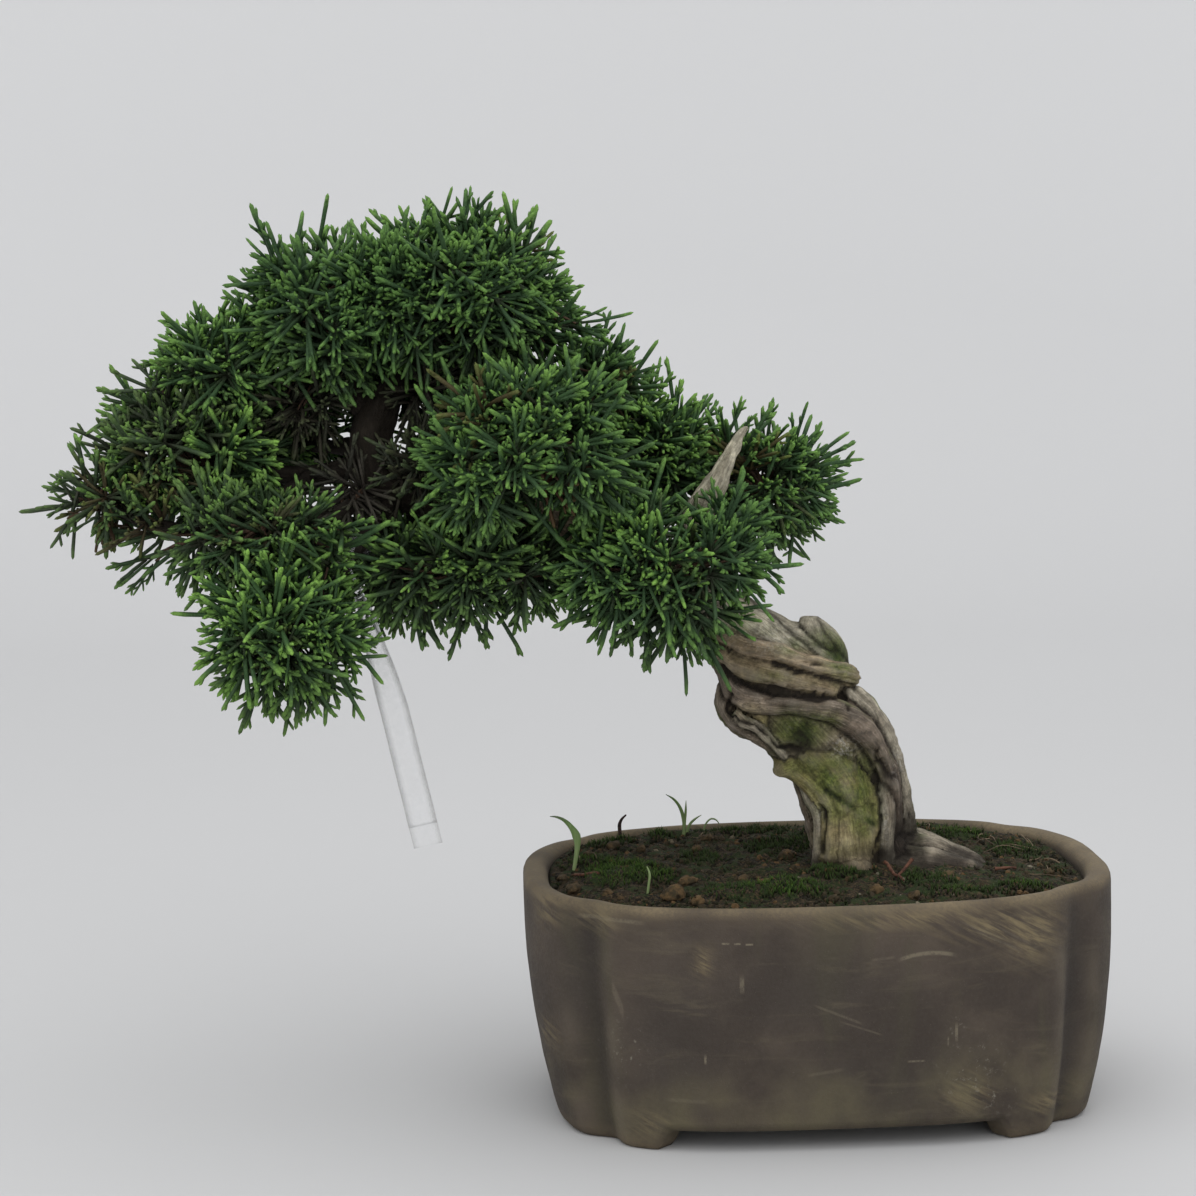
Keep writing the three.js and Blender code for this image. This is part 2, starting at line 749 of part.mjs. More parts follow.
function soilBody() {
  const low = POT.floorTop + THIN_CLEARANCE;
  const rings = INSIDE.map(([z, inset], i) => planRing(i ? z : low, inset + CLEARANCE));
  const edge = planRing(SOIL.edgeTop, POT.wall + CLEARANCE);
  for (const share of SOIL.rings) {
    rings.push(edge.map((p) => vec(p.x * share, p.y * share, soilTop(p.x * share, p.y * share, share))));
  }
  let soil = solidOf(loft(rings));
  for (const side of [-1, 1]) {
    const pocket = new THREE.BoxGeometry(MESH.size + 1, MESH.size + 1, 2 * (MESH.thick + THIN_CLEARANCE));
    pocket.translate(side * POT.drainX, 0, low);
    soil = soil.subtract(solidOf(pocket));
  }
  return soil;
}

// Seedlings and a dead stalk: each line is [x, y, z, half width], rooted in the soil

const GRASS_BLADE = [
  [-75, 8.5, 66, 0.8],
  [-74, 8.5, 76, 1],
  [-75.5, 8.5, 83, 1.5],
  [-78.5, 8.5, 87.5, 1.1],
  [-81.5, 8.5, 88.5, 0.5],
];
const GRASS_TUFT = [
  [[-39, 49.5, 65.5, 0.9], [-38.5, 49.5, 72.5, 0.9], [-39.5, 49.5, 78.5, 0.9], [-43, 49.5, 85.5, 0.45]],
  [[-39, 49.5, 69.5, 0.8], [-38, 49.5, 76.5, 0.8], [-37.5, 49.5, 84.5, 0.4]],
  [[-38.5, 49.5, 71.5, 0.8], [-35.5, 49.5, 75.5, 0.7], [-32, 49.5, 78.5, 0.4]],
];
const DEAD_STALK = [[-59, 45.5, 66, 0.9], [-58, 45.5, 73, 0.8], [-58, 45.5, 77, 0.7], [-56, 45.5, 80, 0.45]];

const blade = (line, grow = 0) => limb(line, { sides: 5, steps: 6, flat: 0.6, grow });
const stalk = (line, grow = 0) => limb(line, { sides: 5, steps: 4, grow });

// Assembly

const tree = new THREE.Group();

function place(name, solid, colour, roughness = 0.85) {
  const material = new THREE.MeshStandardMaterial({ color: colour, roughness, metalness: 0 });
  const mesh = new THREE.Mesh(geometryOf(solid), material);
  mesh.name = name;
  tree.add(mesh);
}

const woodSocket = woodLimbs(CLEARANCE);
const stemSockets = joined([
  blade(GRASS_BLADE, THIN_CLEARANCE),
  ...[...GRASS_TUFT, DEAD_STALK].map((line) => stalk(line, THIN_CLEARANCE)),
]);

place("pot", potBody(), COLOURS.pot, 0.8);
place("drain_mesh_left", drainMesh(-1), COLOURS.mesh, 0.6);
place("drain_mesh_right", drainMesh(1), COLOURS.mesh, 0.6);
place("soil", mainBody(soilBody().subtract(woodSocket).subtract(stemSockets)), COLOURS.soil, 0.95);
place("trunk", woodLimbs(0), COLOURS.wood);
CLOUDS.forEach((cloud, i) => {
  const solid = mainBody(foliageCloud(cloud, i + FIRST_SEED).subtract(woodSocket));
  place("foliage_" + cloud.name, solid, i % 2 ? COLOURS.leaf : COLOURS.leafDark, 0.7);
});
place("grass_blade", blade(GRASS_BLADE), COLOURS.grass, 0.7);
place("grass_tuft", joined(GRASS_TUFT.map((line) => stalk(line))), COLOURS.grass, 0.7);
place("dead_stalk", stalk(DEAD_STALK), COLOURS.stalk);
place("label_strip", labelStrip(), COLOURS.strip, 0.2);

const box = new THREE.Box3().setFromObject(tree);
tree.position.set(-(box.min.x + box.max.x) / 2, -(box.min.y + box.max.y) / 2, -box.min.z);

export default tree;
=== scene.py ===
# A juniper bonsai in a footed stoneware pot: a twisted trunk with bleached deadwood, clouds of forked
# cord-like shoots, mossy soil with three seedlings, and a bare clear label strip.
import math
import random
import bpy
import bmesh
import numpy as np
from mathutils import Matrix, Vector, noise


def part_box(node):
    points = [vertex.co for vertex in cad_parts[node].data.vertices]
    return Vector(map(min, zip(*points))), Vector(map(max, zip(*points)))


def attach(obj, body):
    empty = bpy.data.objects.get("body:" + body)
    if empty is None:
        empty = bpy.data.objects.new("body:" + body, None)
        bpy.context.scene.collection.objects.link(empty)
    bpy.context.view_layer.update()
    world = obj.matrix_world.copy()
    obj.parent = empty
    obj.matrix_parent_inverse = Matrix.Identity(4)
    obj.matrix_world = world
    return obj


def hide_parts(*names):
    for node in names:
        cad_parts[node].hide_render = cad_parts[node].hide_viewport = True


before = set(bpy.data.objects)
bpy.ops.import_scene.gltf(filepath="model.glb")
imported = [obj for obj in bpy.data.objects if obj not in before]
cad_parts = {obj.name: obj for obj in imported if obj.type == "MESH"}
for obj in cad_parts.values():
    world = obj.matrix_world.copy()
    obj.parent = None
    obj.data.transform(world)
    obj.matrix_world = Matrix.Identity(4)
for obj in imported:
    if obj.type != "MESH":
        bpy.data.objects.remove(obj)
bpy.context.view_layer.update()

print("frame loaded,", len(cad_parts), "nodes")

mm = 0.001
potLow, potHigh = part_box("pot")
potMiddle = np.array([(potLow[0] + potHigh[0]) / 2, (potLow[1] + potHigh[1]) / 2, 0.0])


# Everything below is laid out in millimetres from the middle of the pot's foot, x to the right of the
# front view, y to the back, z up. toFrame gives the place in the frame, in metres.
def toFrame(points):
    return np.asarray(points, dtype=float) * mm + potMiddle


def newPiece(name, points, faces, material=None, smooth=True, edges=()):
    mesh = bpy.data.meshes.new(name)
    mesh.from_pydata(toFrame(points).tolist(), list(edges), [tuple(int(i) for i in f) for f in faces])
    mesh.update()
    if material:
        mesh.materials.append(material)
    if len(mesh.polygons):
        mesh.polygons.foreach_set("use_smooth", [smooth] * len(mesh.polygons))
    piece = bpy.data.objects.new(name, mesh)
    bpy.context.scene.collection.objects.link(piece)
    return piece


# Named values for each point of a piece, numbers or vectors.
def setAttributes(piece, **named):
    for name, values in named.items():
        values = np.asarray(values, dtype=float)
        kind, field = ("FLOAT_VECTOR", "vector") if values.ndim == 2 else ("FLOAT", "value")
        piece.data.attributes.new(name, kind, "POINT").data.foreach_set(field, values.ravel())


def vertexValues(piece, name):
    values = np.empty(len(piece.data.vertices) * 3)
    piece.data.vertices.foreach_get(name, values)
    return values.reshape(-1, 3)


# The shown shape of a piece with live modifiers, as a plain mesh in an object of the same name.
def freeze(piece):
    name = piece.name
    evaluated = piece.evaluated_get(bpy.context.evaluated_depsgraph_get())
    mesh = bpy.data.meshes.new_from_object(evaluated)
    old = piece.data
    bpy.data.objects.remove(piece)
    bpy.data.meshes.remove(old)
    mesh.name = name
    plain = bpy.data.objects.new(name, mesh)
    bpy.context.scene.collection.objects.link(plain)
    return plain


def keep(piece, slotName, *nodes):
    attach(piece, "root")
    if nodes:
        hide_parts(*nodes)
    print("  ", piece.name, len(piece.data.polygons), "faces")


# The faces between rings of points that follow one another, each ring closed.
def facesBetween(rings, around):
    faces = []
    for r in range(rings - 1):
        for i in range(around):
            a, b = r * around + i, r * around + (i + 1) % around
            faces.append((a, b, b + around, a + around))
    return faces


def closedRings(rings):
    around = len(rings[0])
    points = np.concatenate(rings)
    faces = facesBetween(len(rings), around)
    ends = np.array([rings[0].mean(axis=0), rings[-1].mean(axis=0)])
    first, last, top = len(points), len(points) + 1, (len(rings) - 1) * around
    for i in range(around):
        after = (i + 1) % around
        faces.append((first, after, i))
        faces.append((last, top + i, top + after))
    return np.concatenate([points, ends]), faces


# Shapes joined into one, each given as points, faces and, where it has them, a value for each point.
def joined(shapes):
    points, faces, values = [], [], []
    for spots, sides, *marks in shapes:
        faces += [tuple(i + len(points) for i in side) for side in sides]
        points += [tuple(spot) for spot in spots]
        values += list(marks[0]) if marks else []
    return points, faces, values


def columns(x, y, z):
    return np.stack([x, y, z], axis=1)


def unit(rows):
    return rows / np.linalg.norm(rows, axis=1)[:, None]


def smoothStep(low, high, values):
    t = np.clip((np.asarray(values, dtype=float) - low) / (high - low), 0, 1)
    return t * t * (3 - 2 * t)


def bell(values, width):
    return np.exp(-((values / width) ** 2))


# How far out a place lies in an oval round the middle: 0 there, 1 on the oval, growing with the square.
def ovalShare(x, y, halfX, halfY):
    return (x / halfX) ** 2 + (y / halfY) ** 2


# Noise in about -1 to 1 at each point, points and size in millimetres.
def noiseAt(points, size, seed=0.0, octaves=1):
    shift = Vector((seed * 7.3, seed * 3.1, seed * 5.7))
    if octaves == 1:
        return np.array([noise.noise(Vector(p) / size + shift) for p in points]) * 1.6
    return np.array([noise.fractal(Vector(p) / size + shift, 1.0, 2.0, octaves) for p in points]) * 1.3


# Materials: small helpers here, and one function for each finish beside its piece


def newMaterial(name, roughness, specular=0.5):
    material = bpy.data.materials.new(name)
    material.use_nodes = True
    surface = material.node_tree.nodes["Principled BSDF"]
    surface.inputs["Roughness"].default_value = roughness
    surface.inputs["Specular IOR Level"].default_value = specular
    return material, material.node_tree, surface


def addNode(tree, kind, inputs=None, **settings):
    made = tree.nodes.new(kind)
    for key, value in settings.items():
        setattr(made, key, value)
    for key, value in (inputs or {}).items():
        socket = made.inputs[key]
        if isinstance(value, bpy.types.NodeSocket):
            tree.links.new(value, socket)
        else:
            socket.default_value = value
    return made


# The node tree that these values come from.
def treeOf(*values):
    return next(value.id_data for value in values if isinstance(value, bpy.types.NodeSocket))


# The first result of a new node.
def madeBy(tree, kind, inputs, **settings):
    return addNode(tree, kind, inputs, **settings).outputs[0]


def maths(operation, a, b=0.5, clamp=False):
    return madeBy(treeOf(a, b), "ShaderNodeMath", {0: a, 1: b}, operation=operation, use_clamp=clamp)


# The product of two shares, held between 0 and 1.
def times(a, b):
    return maths("MULTIPLY", a, b, True)


def scaled(tree, vector, by):
    return madeBy(tree, "ShaderNodeVectorMath", {0: vector, "Scale": by}, operation="SCALE")


def objectPlace(tree, scale=(1, 1, 1)):
    place = addNode(tree, "ShaderNodeTexCoord").outputs["Object"]
    return madeBy(tree, "ShaderNodeMapping", {"Vector": place, "Scale": scale})


def attributeOf(tree, name, output="Fac"):
    return addNode(tree, "ShaderNodeAttribute", attribute_name=name).outputs[output]


def noiseNode(place, scale, detail=3.0, roughness=0.55, distortion=0.0):
    inputs = {"Vector": place, "Scale": scale, "Detail": detail, "Roughness": roughness}
    inputs["Distortion"] = distortion
    return addNode(place.id_data, "ShaderNodeTexNoise", inputs).outputs["Fac"]


# A value turned into 0 to 1 between two limits.
def between(value, low, high, to=(0.0, 1.0)):
    inputs = {"Value": value, "From Min": low, "From Max": high, "To Min": to[0], "To Max": to[1]}
    return madeBy(value.id_data, "ShaderNodeMapRange", inputs, interpolation_type="SMOOTHSTEP")


def blendColour(share, first, second):
    inputs = {0: share}
    for socket, colour in ((6, first), (7, second)):
        inputs[socket] = (*colour, 1.0) if isinstance(colour, tuple) else colour
    return addNode(treeOf(share, first, second), "ShaderNodeMix", inputs, data_type="RGBA").outputs[2]


# Two colours mixed by a value between two limits.
def twoTone(value, low, high, dark, light):
    return blendColour(between(value, low, high), dark, light)


# Further colours laid over the first, each given with the share that it covers, or the attribute with it.
def layered(tree, colour, *layers):
    for share, over in layers:
        share = attributeOf(tree, share) if isinstance(share, str) else share
        colour = blendColour(share, colour, over)
    return colour


# A marked place, broken up by noise between two limits.
def worn(tree, name, value, low, high, to=(0.0, 1.0)):
    return times(attributeOf(tree, name), between(value, low, high, to))


def paint(surface, colour):
    surface.id_data.links.new(colour, surface.inputs["Base Color"])


def addBump(surface, height, depth, under=None, strength=1.0):
    inputs = {"Height": height, "Distance": depth, "Strength": strength}
    if under:
        inputs["Normal"] = under
    bump = madeBy(surface.id_data, "ShaderNodeBump", inputs)
    surface.id_data.links.new(bump, surface.inputs["Normal"])
    return bump


# A finish of two colours mixed by noise, the noise given as its scale, detail and roughness.
def mottledFinish(name, roughness, specular, grain, limits, dark, light, bump=None):
    material, tree, surface = newMaterial(name, roughness, specular)
    flakes = noiseNode(objectPlace(tree), *grain)
    paint(surface, twoTone(flakes, *limits, dark, light))
    if bump:
        addBump(surface, flakes, bump)
    return material


# Pot

pot = {
    "halfLength": 90.3,
    "halfDepth": 70.5,
    "height": 73,
    "rimCorner": 2.8,  # exponents of the rounded rectangle
    "footCorner": 3.3,
    "wall": 8,
    "floorTop": 14,
    "floorUnder": 6,
    "floorGap": 0.35,  # between the pot's floor and what lies on it
    "taper": 9.0,  # how far the foot stands in from the rim at the ends
    "frontTaper": 0.5,  # of that, at the front and back
    "creaseDepth": 0.055,  # of the pot's own radius there
    "creaseAngle": 35.4,  # degrees from the long axis
    "creaseWidth": 4.2,
    "footInset": 2.2,
    "footBand": 10,
    "footGapFront": 49.5,  # half of the space between the front feet
    "footGapShift": 1.5,
    "footGapEnd": 16,
    "footEase": (0.6, 3.4),  # where a foot's side starts and ends, past half of the space
    "drainX": 40,
    "drainRadius": 7.5,
    "around": 384,
    "wallRings": 26,
    "innerHeights": (64, 58, 48, 38, 26, 18),
    "unevenness": (0.35, 0.12),  # of the hand-pressed wall, in broad and small waves
}

# The rim from the outside in, as (below the top, inset).
rimProfile = [
    (2.2, 0.08), (1.2, 0.45), (0.5, 1.1), (0.1, 2.1), (0, 3.2), (0.1, 4.5), (0.5, 5.8), (1.3, 6.9),
    (2.4, 7.6), (4, 7.95),
]


def taperAt(z):
    return pot["taper"] * (np.clip(pot["height"] - z, 0, None) / pot["height"]) ** 2.5


# Points of the plan at these angles, for a height and an inset from the rim's line, each one number or
# one number an angle.
def planAt(angles, z, inset):
    height = np.clip(z / pot["height"], 0, 1)
    corner = pot["footCorner"] + (pot["rimCorner"] - pot["footCorner"]) * height
    crease = np.clip(1.6 - 1.2 * height, 0.4, 1)
    c, s = np.abs(np.cos(angles)), np.abs(np.sin(angles))
    halfLength = pot["halfLength"] - inset
    halfDepth = pot["halfDepth"] - inset * pot["frontTaper"]
    radius = ((c / halfLength) ** corner + (s / halfDepth) ** corner) ** (-1 / corner)
    fold = bell(np.degrees(np.arctan2(s, c)) - pot["creaseAngle"], pot["creaseWidth"])
    radius = radius * (1 - crease * pot["creaseDepth"] * fold)
    return radius * np.cos(angles), radius * np.sin(angles)


# Worn and stained places on the pot as (x, z, half width, half height), on its front.
potMarks = {
    "ochre": [
        (47, 66, 15, 4), (57, 62, 8, 7), (52, 65, 10, 4.5), (20, 69, 24, 2), (-84, 69, 4, 4),
        (-85, 30, 3, 4), (37, 16, 6, 5), (64, 10, 8, 3), (-70, 68, 5, 3), (-40, 58, 2.5, 3.5),
        (-55, 8, 8, 3),
    ],
    "salt": [(34, 34, 2, 5), (38, 22, 8, 7), (46, 14, 5, 4), (42, 28, 5, 3), (-62, 30, 5, 8)],
    "damp": [(-48, 34, 14, 26), (12, 22, 24, 14), (-10, 48, 30, 10), (70, 40, 6, 26), (-76, 50, 7, 20)],
}


# Scratches on the pot's front as (x, z, half length, half width, slope, bow, strength).
potScratches = [
    (25, 58.6, 9.5, 0.6, 0.04, -0.019, 0.75), (-33.4, 63.1, 1.3, 0.28, 0, 0, 0.9),
    (-30, 63, 1.1, 0.28, 0, 0, 0.9), (-26.6, 62.8, 1.3, 0.28, 0, 0, 0.9), (-1, 41.3, 8, 0.4, -0.43, 0, 0.35),
    (5.6, 37, 7, 0.3, -0.36, 0, 0.3), (-39.7, 28.7, 0.4, 1.3, 0, 0, 0.9), (-28.9, 51, 0.8, 2.2, 0, 0, 0.6),
    (21.6, 26.5, 2.9, 0.3, 0, 0, 0.7), (-64.4, 45.4, 1.9, 2.2, -2.5, 0, 0.35),
    (33.5, 34.6, 0.5, 2.4, 0, 0, 0.7), (31, 32, 0.3, 1.2, 0, 0, 0.8), (-66, 69, 11, 0.6, 0.01, -0.006, 0.45),
    (12, 57.5, 4, 0.4, 0.1, 0, 0.3), (46, 61, 8, 0.45, -0.5, 0, 0.3), (42, 64, 8, 0.4, -0.45, 0, 0.3),
    (51, 62, 6, 0.4, -0.6, 0, 0.3), (-5, 24, 6, 0.5, 0.15, 0, 0.25), (-45, 16, 7, 0.6, -0.05, 0, 0.25),
]


# A mask that is 1 along each scratch of the front wall, worked out from the place on the pot.
def scratchMask(tree, place, wobble):
    fromMiddle = {0: place, 1: tuple(potMiddle)}
    middle = madeBy(tree, "ShaderNodeVectorMath", fromMiddle, operation="SUBTRACT")
    split = addNode(tree, "ShaderNodeSeparateXYZ", {0: middle}).outputs
    mask = None
    for x, z, long, wide, slope, bow, strength in potScratches:
        along = maths("SUBTRACT", split["X"], x * mm)
        straight = maths("MULTIPLY", along, slope)
        bent = maths("MULTIPLY", maths("MULTIPLY", along, along), bow / mm)
        course = maths("ADD", straight, bent)
        away = maths("SUBTRACT", maths("SUBTRACT", split["Z"], z * mm), course)
        across = between(maths("ABSOLUTE", away), wide * 1.5 * mm, wide * 0.4 * mm)
        ends = between(maths("ABSOLUTE", along), long * mm, long * 0.6 * mm)
        mark = times(times(across, ends), times(wobble, strength))
        mask = mark if mask is None else maths("MAXIMUM", mask, mark, True)
    return times(mask, between(split["Y"], -0.03, -0.045))


def makeStoneware():
    material, tree, surface = newMaterial("darkStoneware", 0.82, 0.3)
    place = objectPlace(tree)
    clouding = noiseNode(place, 34, 4, 0.6)
    upright = noiseNode(objectPlace(tree, (60, 60, 16)), 1.0, 3, 0.6, 0.6)
    fine = noiseNode(place, 900, 3, 0.7)
    grit = noiseNode(place, 2600, 2, 0.6)
    leaning = madeBy(tree, "ShaderNodeMapping", {"Vector": place, "Rotation": (0, -0.5, 0)})
    streaks = madeBy(tree, "ShaderNodeMapping", {"Vector": leaning, "Scale": (70, 70, 620)})
    brush = noiseNode(streaks, 1.0, 4, 0.65, 0.35)
    strokes = noiseNode(objectPlace(tree, (26, 26, 150)), 1.0, 5, 0.7, 0.8)
    crystals = noiseNode(place, 520, 3, 0.75)
    scratches = scratchMask(tree, place, between(fine, 0.36, 0.56, (0.35, 1.0)))
    brown = layered(
        tree,
        twoTone(clouding, 0.35, 0.68, (0.05, 0.039, 0.031), (0.086, 0.067, 0.051)),
        (between(upright, 0.5, 0.72, (0.0, 0.55)), (0.074, 0.066, 0.04)),
        (worn(tree, "damp", clouding, 0.3, 0.6, (0.2, 0.75)), (0.047, 0.039, 0.033)),
        (worn(tree, "ochre", brush, 0.36, 0.66), (0.215, 0.17, 0.095)),
        (between(strokes, 0.52, 0.74, (0.0, 0.5)), (0.12, 0.1, 0.066)),
        (worn(tree, "wash", clouding, 0.35, 0.62), (0.118, 0.102, 0.06)),
        # painted shade down the creases and painted highlights on the ridges beside them
        ("groove", (0.03, 0.025, 0.021)),
        ("ridge", (0.135, 0.112, 0.082)),
        (times(scratches, 0.62), (0.26, 0.225, 0.155)),
        (worn(tree, "rim", fine, 0.3, 0.7, (0.5, 1.0)), (0.215, 0.168, 0.1)),
        (worn(tree, "salt", crystals, 0.56, 0.74, (0.0, 0.6)), (0.3, 0.28, 0.22)),
        (between(grit, 0.68, 0.78, (0.0, 0.5)), (0.2, 0.18, 0.14)),
    )
    paint(surface, brown)
    tree.links.new(between(fine, 0.3, 0.7, (0.72, 0.9)), surface.inputs["Roughness"])
    coarse = addBump(surface, fine, 0.0004, strength=0.5)
    addBump(surface, grit, 0.00015, coarse, 0.5)
    return material


# The pot's outline from the middle of its underside, out, up the wall, over the rim and down to the floor,
# as (height, inset) with a height for each angle, because the lower edge is raised between the feet.
def potOutline(angles):
    x, y = planAt(angles, 0.0, taperAt(0))
    inner, outer = pot["footEase"]
    front, end = pot["footGapFront"], pot["footGapEnd"]
    underFront = 1 - smoothStep(front - inner, front + outer, np.abs(x + pot["footGapShift"]))
    underEnds = 1 - smoothStep(end - inner, end + outer, np.abs(y))
    under, top, wall = pot["floorUnder"], pot["height"], pot["wall"]
    low = under * np.maximum(underFront, underEnds)
    level = 0 * low
    foot = taperAt(0) + pot["footInset"]
    band = foot + pot["footBand"]
    steps = [(under - z + level, band + more) for z, more in ((0, 22), (0, 8), (0, 2.4), (0.02, 1))]
    for share, more in ((0.25, 0.2), (0.6, -0.2), (0.88, -0.7), (1, -1.8)):
        steps.append((under + (low - under) * share, band + more))
    steps += [(low, band - 5), (low, foot + 2), (low, foot), (low + 0.25, foot - 1.1)]
    steps += [(low + 0.9, foot - 1.8), (low + 1.8, taperAt(low + 1.8) + 0.1)]
    for share in np.linspace(0, 1, pot["wallRings"]):
        z = (low + 3) * (1 - share) + (top - 3.4) * share
        steps.append((z, taperAt(z)))
    steps += [(top - below + level, inset) for below, inset in rimProfile]
    steps += [(z + level, taperAt(z) + wall) for z in pot["innerHeights"]]
    floor, corner = pot["floorTop"] + level, taperAt(pot["floorTop"]) + wall
    return steps + [(floor + 1, corner + 0.8), (floor, corner + 3), (floor, 40)]


def drillDrainHoles(piece):
    for side in (-1, 1):
        bpy.ops.mesh.primitive_cylinder_add(vertices=40, radius=pot["drainRadius"] * mm, depth=0.04)
        drill = bpy.context.object
        drill.location = Vector(toFrame([side * pot["drainX"], 0, 10]))
        cut = piece.modifiers.new("drainHole", "BOOLEAN")
        cut.object = drill
        cut.solver = "EXACT"
        bpy.context.view_layer.update()
        piece = freeze(piece)
        bpy.data.objects.remove(drill)
    return piece


# Where the pot is stained, worn and washed, with painted shade down its creases and painted highlights on
# the ridges beside them, as attributes that its finish reads.
def markPot(piece):
    spots = (vertexValues(piece, "co") - potMiddle) / mm
    x, y, z = spots.T
    front = smoothStep(0.2, 0.8, -y / 60)
    for name, marks in potMarks.items():
        amount = np.zeros(len(spots))
        for markX, markZ, width, tall in marks:
            amount = np.maximum(amount, np.exp(-ovalShare(x - markX, z - markZ, width, tall) * 0.9))
        other = np.clip(noiseAt(spots, 30, 11.0 if name == "ochre" else 17.0), 0, 1) * (1 - front)
        marked = np.clip(amount * front + other * (0.25 if name == "salt" else 0.8), 0, 1)
        setAttributes(piece, **{name: marked})
    outside = smoothStep(60, 68, np.hypot(x * 0.8, y)) * smoothStep(72, 66, z)
    # painted shade down each crease, and painted highlights on the ridges beside it
    bearing = np.degrees(np.arctan2(np.abs(y), np.abs(x))) - pot["creaseAngle"]
    setAttributes(piece, groove=outside * 0.62 * bell(bearing, 2.6))
    edge = bell(bearing - 5.4, 2) + 0.7 * bell(bearing + 5.2, 2)
    setAttributes(piece, ridge=outside * 0.5 * edge * np.clip(0.6 + noiseAt(spots, 14, 3.0), 0, 1))
    patchy = np.clip(0.45 + 1.1 * noiseAt(spots, 22, 9.0, 3), 0, 1)
    low = smoothStep(34, 12, z) * smoothStep(0.5, 3, z)
    corner = np.exp(-ovalShare(x - 38, z - 15, 14, 12))
    setAttributes(piece, wash=np.clip(low * patchy * 0.75 + corner * front * 0.8, 0, 1))
    rim = np.maximum(smoothStep(68.5, 72.7, z) * 0.9, 0.45 * (1 - smoothStep(1, 6, z)))
    setAttributes(piece, rim=rim * (0.75 + 0.35 * noiseAt(spots, 12, 8.0)))


def makePot():
    angles = np.linspace(0, 2 * math.pi, pot["around"], endpoint=False)
    rings = [columns(*planAt(angles, z, inset), z) for z, inset in potOutline(angles)]
    points, faces = closedRings(rings)
    broad, small = pot["unevenness"]
    wave = noiseAt(points, 26, 2.0) * broad + noiseAt(points, 9, 5.0) * small
    reach = np.linalg.norm(points[:, :2], axis=1)
    out = points[:, :2] / np.linalg.norm(points[:, :2] + 1e-9, axis=1)[:, None]
    grip = smoothStep(4, 12, points[:, 2])[:, None] * smoothStep(60, 66, reach)[:, None]
    points[:, :2] -= out * np.abs(wave)[:, None] * grip
    piece = drillDrainHoles(newPiece("pot_body", points, faces, makeStoneware()))
    markPot(piece)
    keep(piece, "stoneware", "pot")


print("pot")
makePot()


# Drain meshes on the pot's floor

drainMesh = {"size": 22, "thick": 0.8, "pitch": 2.75, "bar": 0.9}


# A square net: a grid of cells inset into windows, then given its thickness.
def makeDrainMeshes():
    grain = (700, 3, 0.6)
    plastic = mottledFinish(
        "blackMeshPlastic", 0.5, 0.5, grain, (0.4, 0.7), (0.02, 0.02, 0.02), (0.06, 0.05, 0.04), 0.0001
    )
    cells = int(drainMesh["size"] / drainMesh["pitch"])
    for side, node in ((-1, "drain_mesh_left"), (1, "drain_mesh_right")):
        shape = bmesh.new()
        bmesh.ops.create_grid(shape, x_segments=cells, y_segments=cells, size=drainMesh["size"] / 2)
        windows = bmesh.ops.inset_individual(shape, faces=shape.faces[:], thickness=drainMesh["bar"] / 2)
        inner = [f for f in shape.faces if f not in windows["faces"]]
        bmesh.ops.delete(shape, geom=inner, context="FACES_ONLY")
        shape.verts.ensure_lookup_table()
        place = Vector((side * pot["drainX"], 0, pot["floorTop"] + pot["floorGap"]))
        points = [tuple(v.co + place) for v in shape.verts]
        faces = [[v.index for v in f.verts] for f in shape.faces]
        shape.free()
        piece = newPiece("net_" + node, points, faces, plastic, smooth=False)
        thicken = piece.modifiers.new("thick", "SOLIDIFY")
        thicken.thickness = drainMesh["thick"] * mm
        thicken.offset = 1
        keep(freeze(piece), "drain_mesh", node)


print("drain meshes")
makeDrainMeshes()


# Soil, filling the pot to just under its rim

soil = {
    "edgeTop": 70,
    "mound": 3.2,
    "backRise": 1.9,
    "clearance": 0.4,
    "around": 192,
    "ringsOfTop": 56,
    "sheetAround": 160,  # of the sheet that grains and moss are strewn on
    "sheetRings": 60,
    "sheetInset": 1.2,
    "grainSize": 2.3,
    "grainGap": 1.75,
    "mossGap": 0.92,
    "seeds": {"stones": 4, "grains": 5, "leaves": 9, "moss": 8, "clods": 21},
}

# Cushions of moss as (x, y, half length, half depth, height, brightness)
mossCushions = [
    (-60, -6, 12, 19, 2.4, 0.9), (-50, -14, 6, 12, 1.6, 0.6), (-13, -40, 13, 10, 2.2, 1.0),
    (-44.5, 43, 4, 6, 2.6, 0.7), (52, 33, 9, 6, 2.0, 0.95), (60, -41, 9, 5, 1.4, 0.6),
    (31, -34, 9, 9, 2.0, 0.3), (-33, 8, 7, 9, 1.0, 0.3), (-70, 16, 8, 7, 1.2, 0.55),
    (10, 34, 12, 10, 1.2, 0.45), (-16, 46, 16, 7, 1.0, 0.35), (-28, -40, 9, 9, 1.2, 0.4),
    (4, -22, 9, 10, 1.0, 0.5), (40, -48, 12, 6, 1.2, 0.35), (66, 12, 8, 12, 1.0, 0.3),
    (30, 48, 14, 7, 1.4, 0.5), (-62, 40, 9, 7, 1.2, 0.4), (-8, 20, 12, 10, 0.8, 0.3),
]

# Clods of baked clay as (x, y, radius, redness)
clods = [
    (-75.5, -23, 3.6, 0.3), (-60.5, 32, 3.4, 0.4), (-46.4, -44, 5.2, 0.8), (-41, -27, 3.6, 0.7),
    (-35, 14.5, 2.8, 0.8), (-7.4, 3.5, 3.4, 0.9), (13.7, -46, 3.4, 0.6), (-78, -4, 2.6, 0.2),
    (-69, 24, 2.8, 0.5), (-40, -52, 3.2, 0.7), (-24, -26, 2.4, 0.4), (-30, 34, 2.6, 0.5), (44, 20, 2.8, 0.3),
    (38, -28, 2.6, 0.4), (0, -52, 2.6, 0.3), (24, -52, 3.0, 0.4), (-66, -34, 2.8, 0.5), (70, -22, 2.4, 0.3),
    (-52, 22, 2.4, 0.6), (-14, 30, 2.4, 0.6),
]


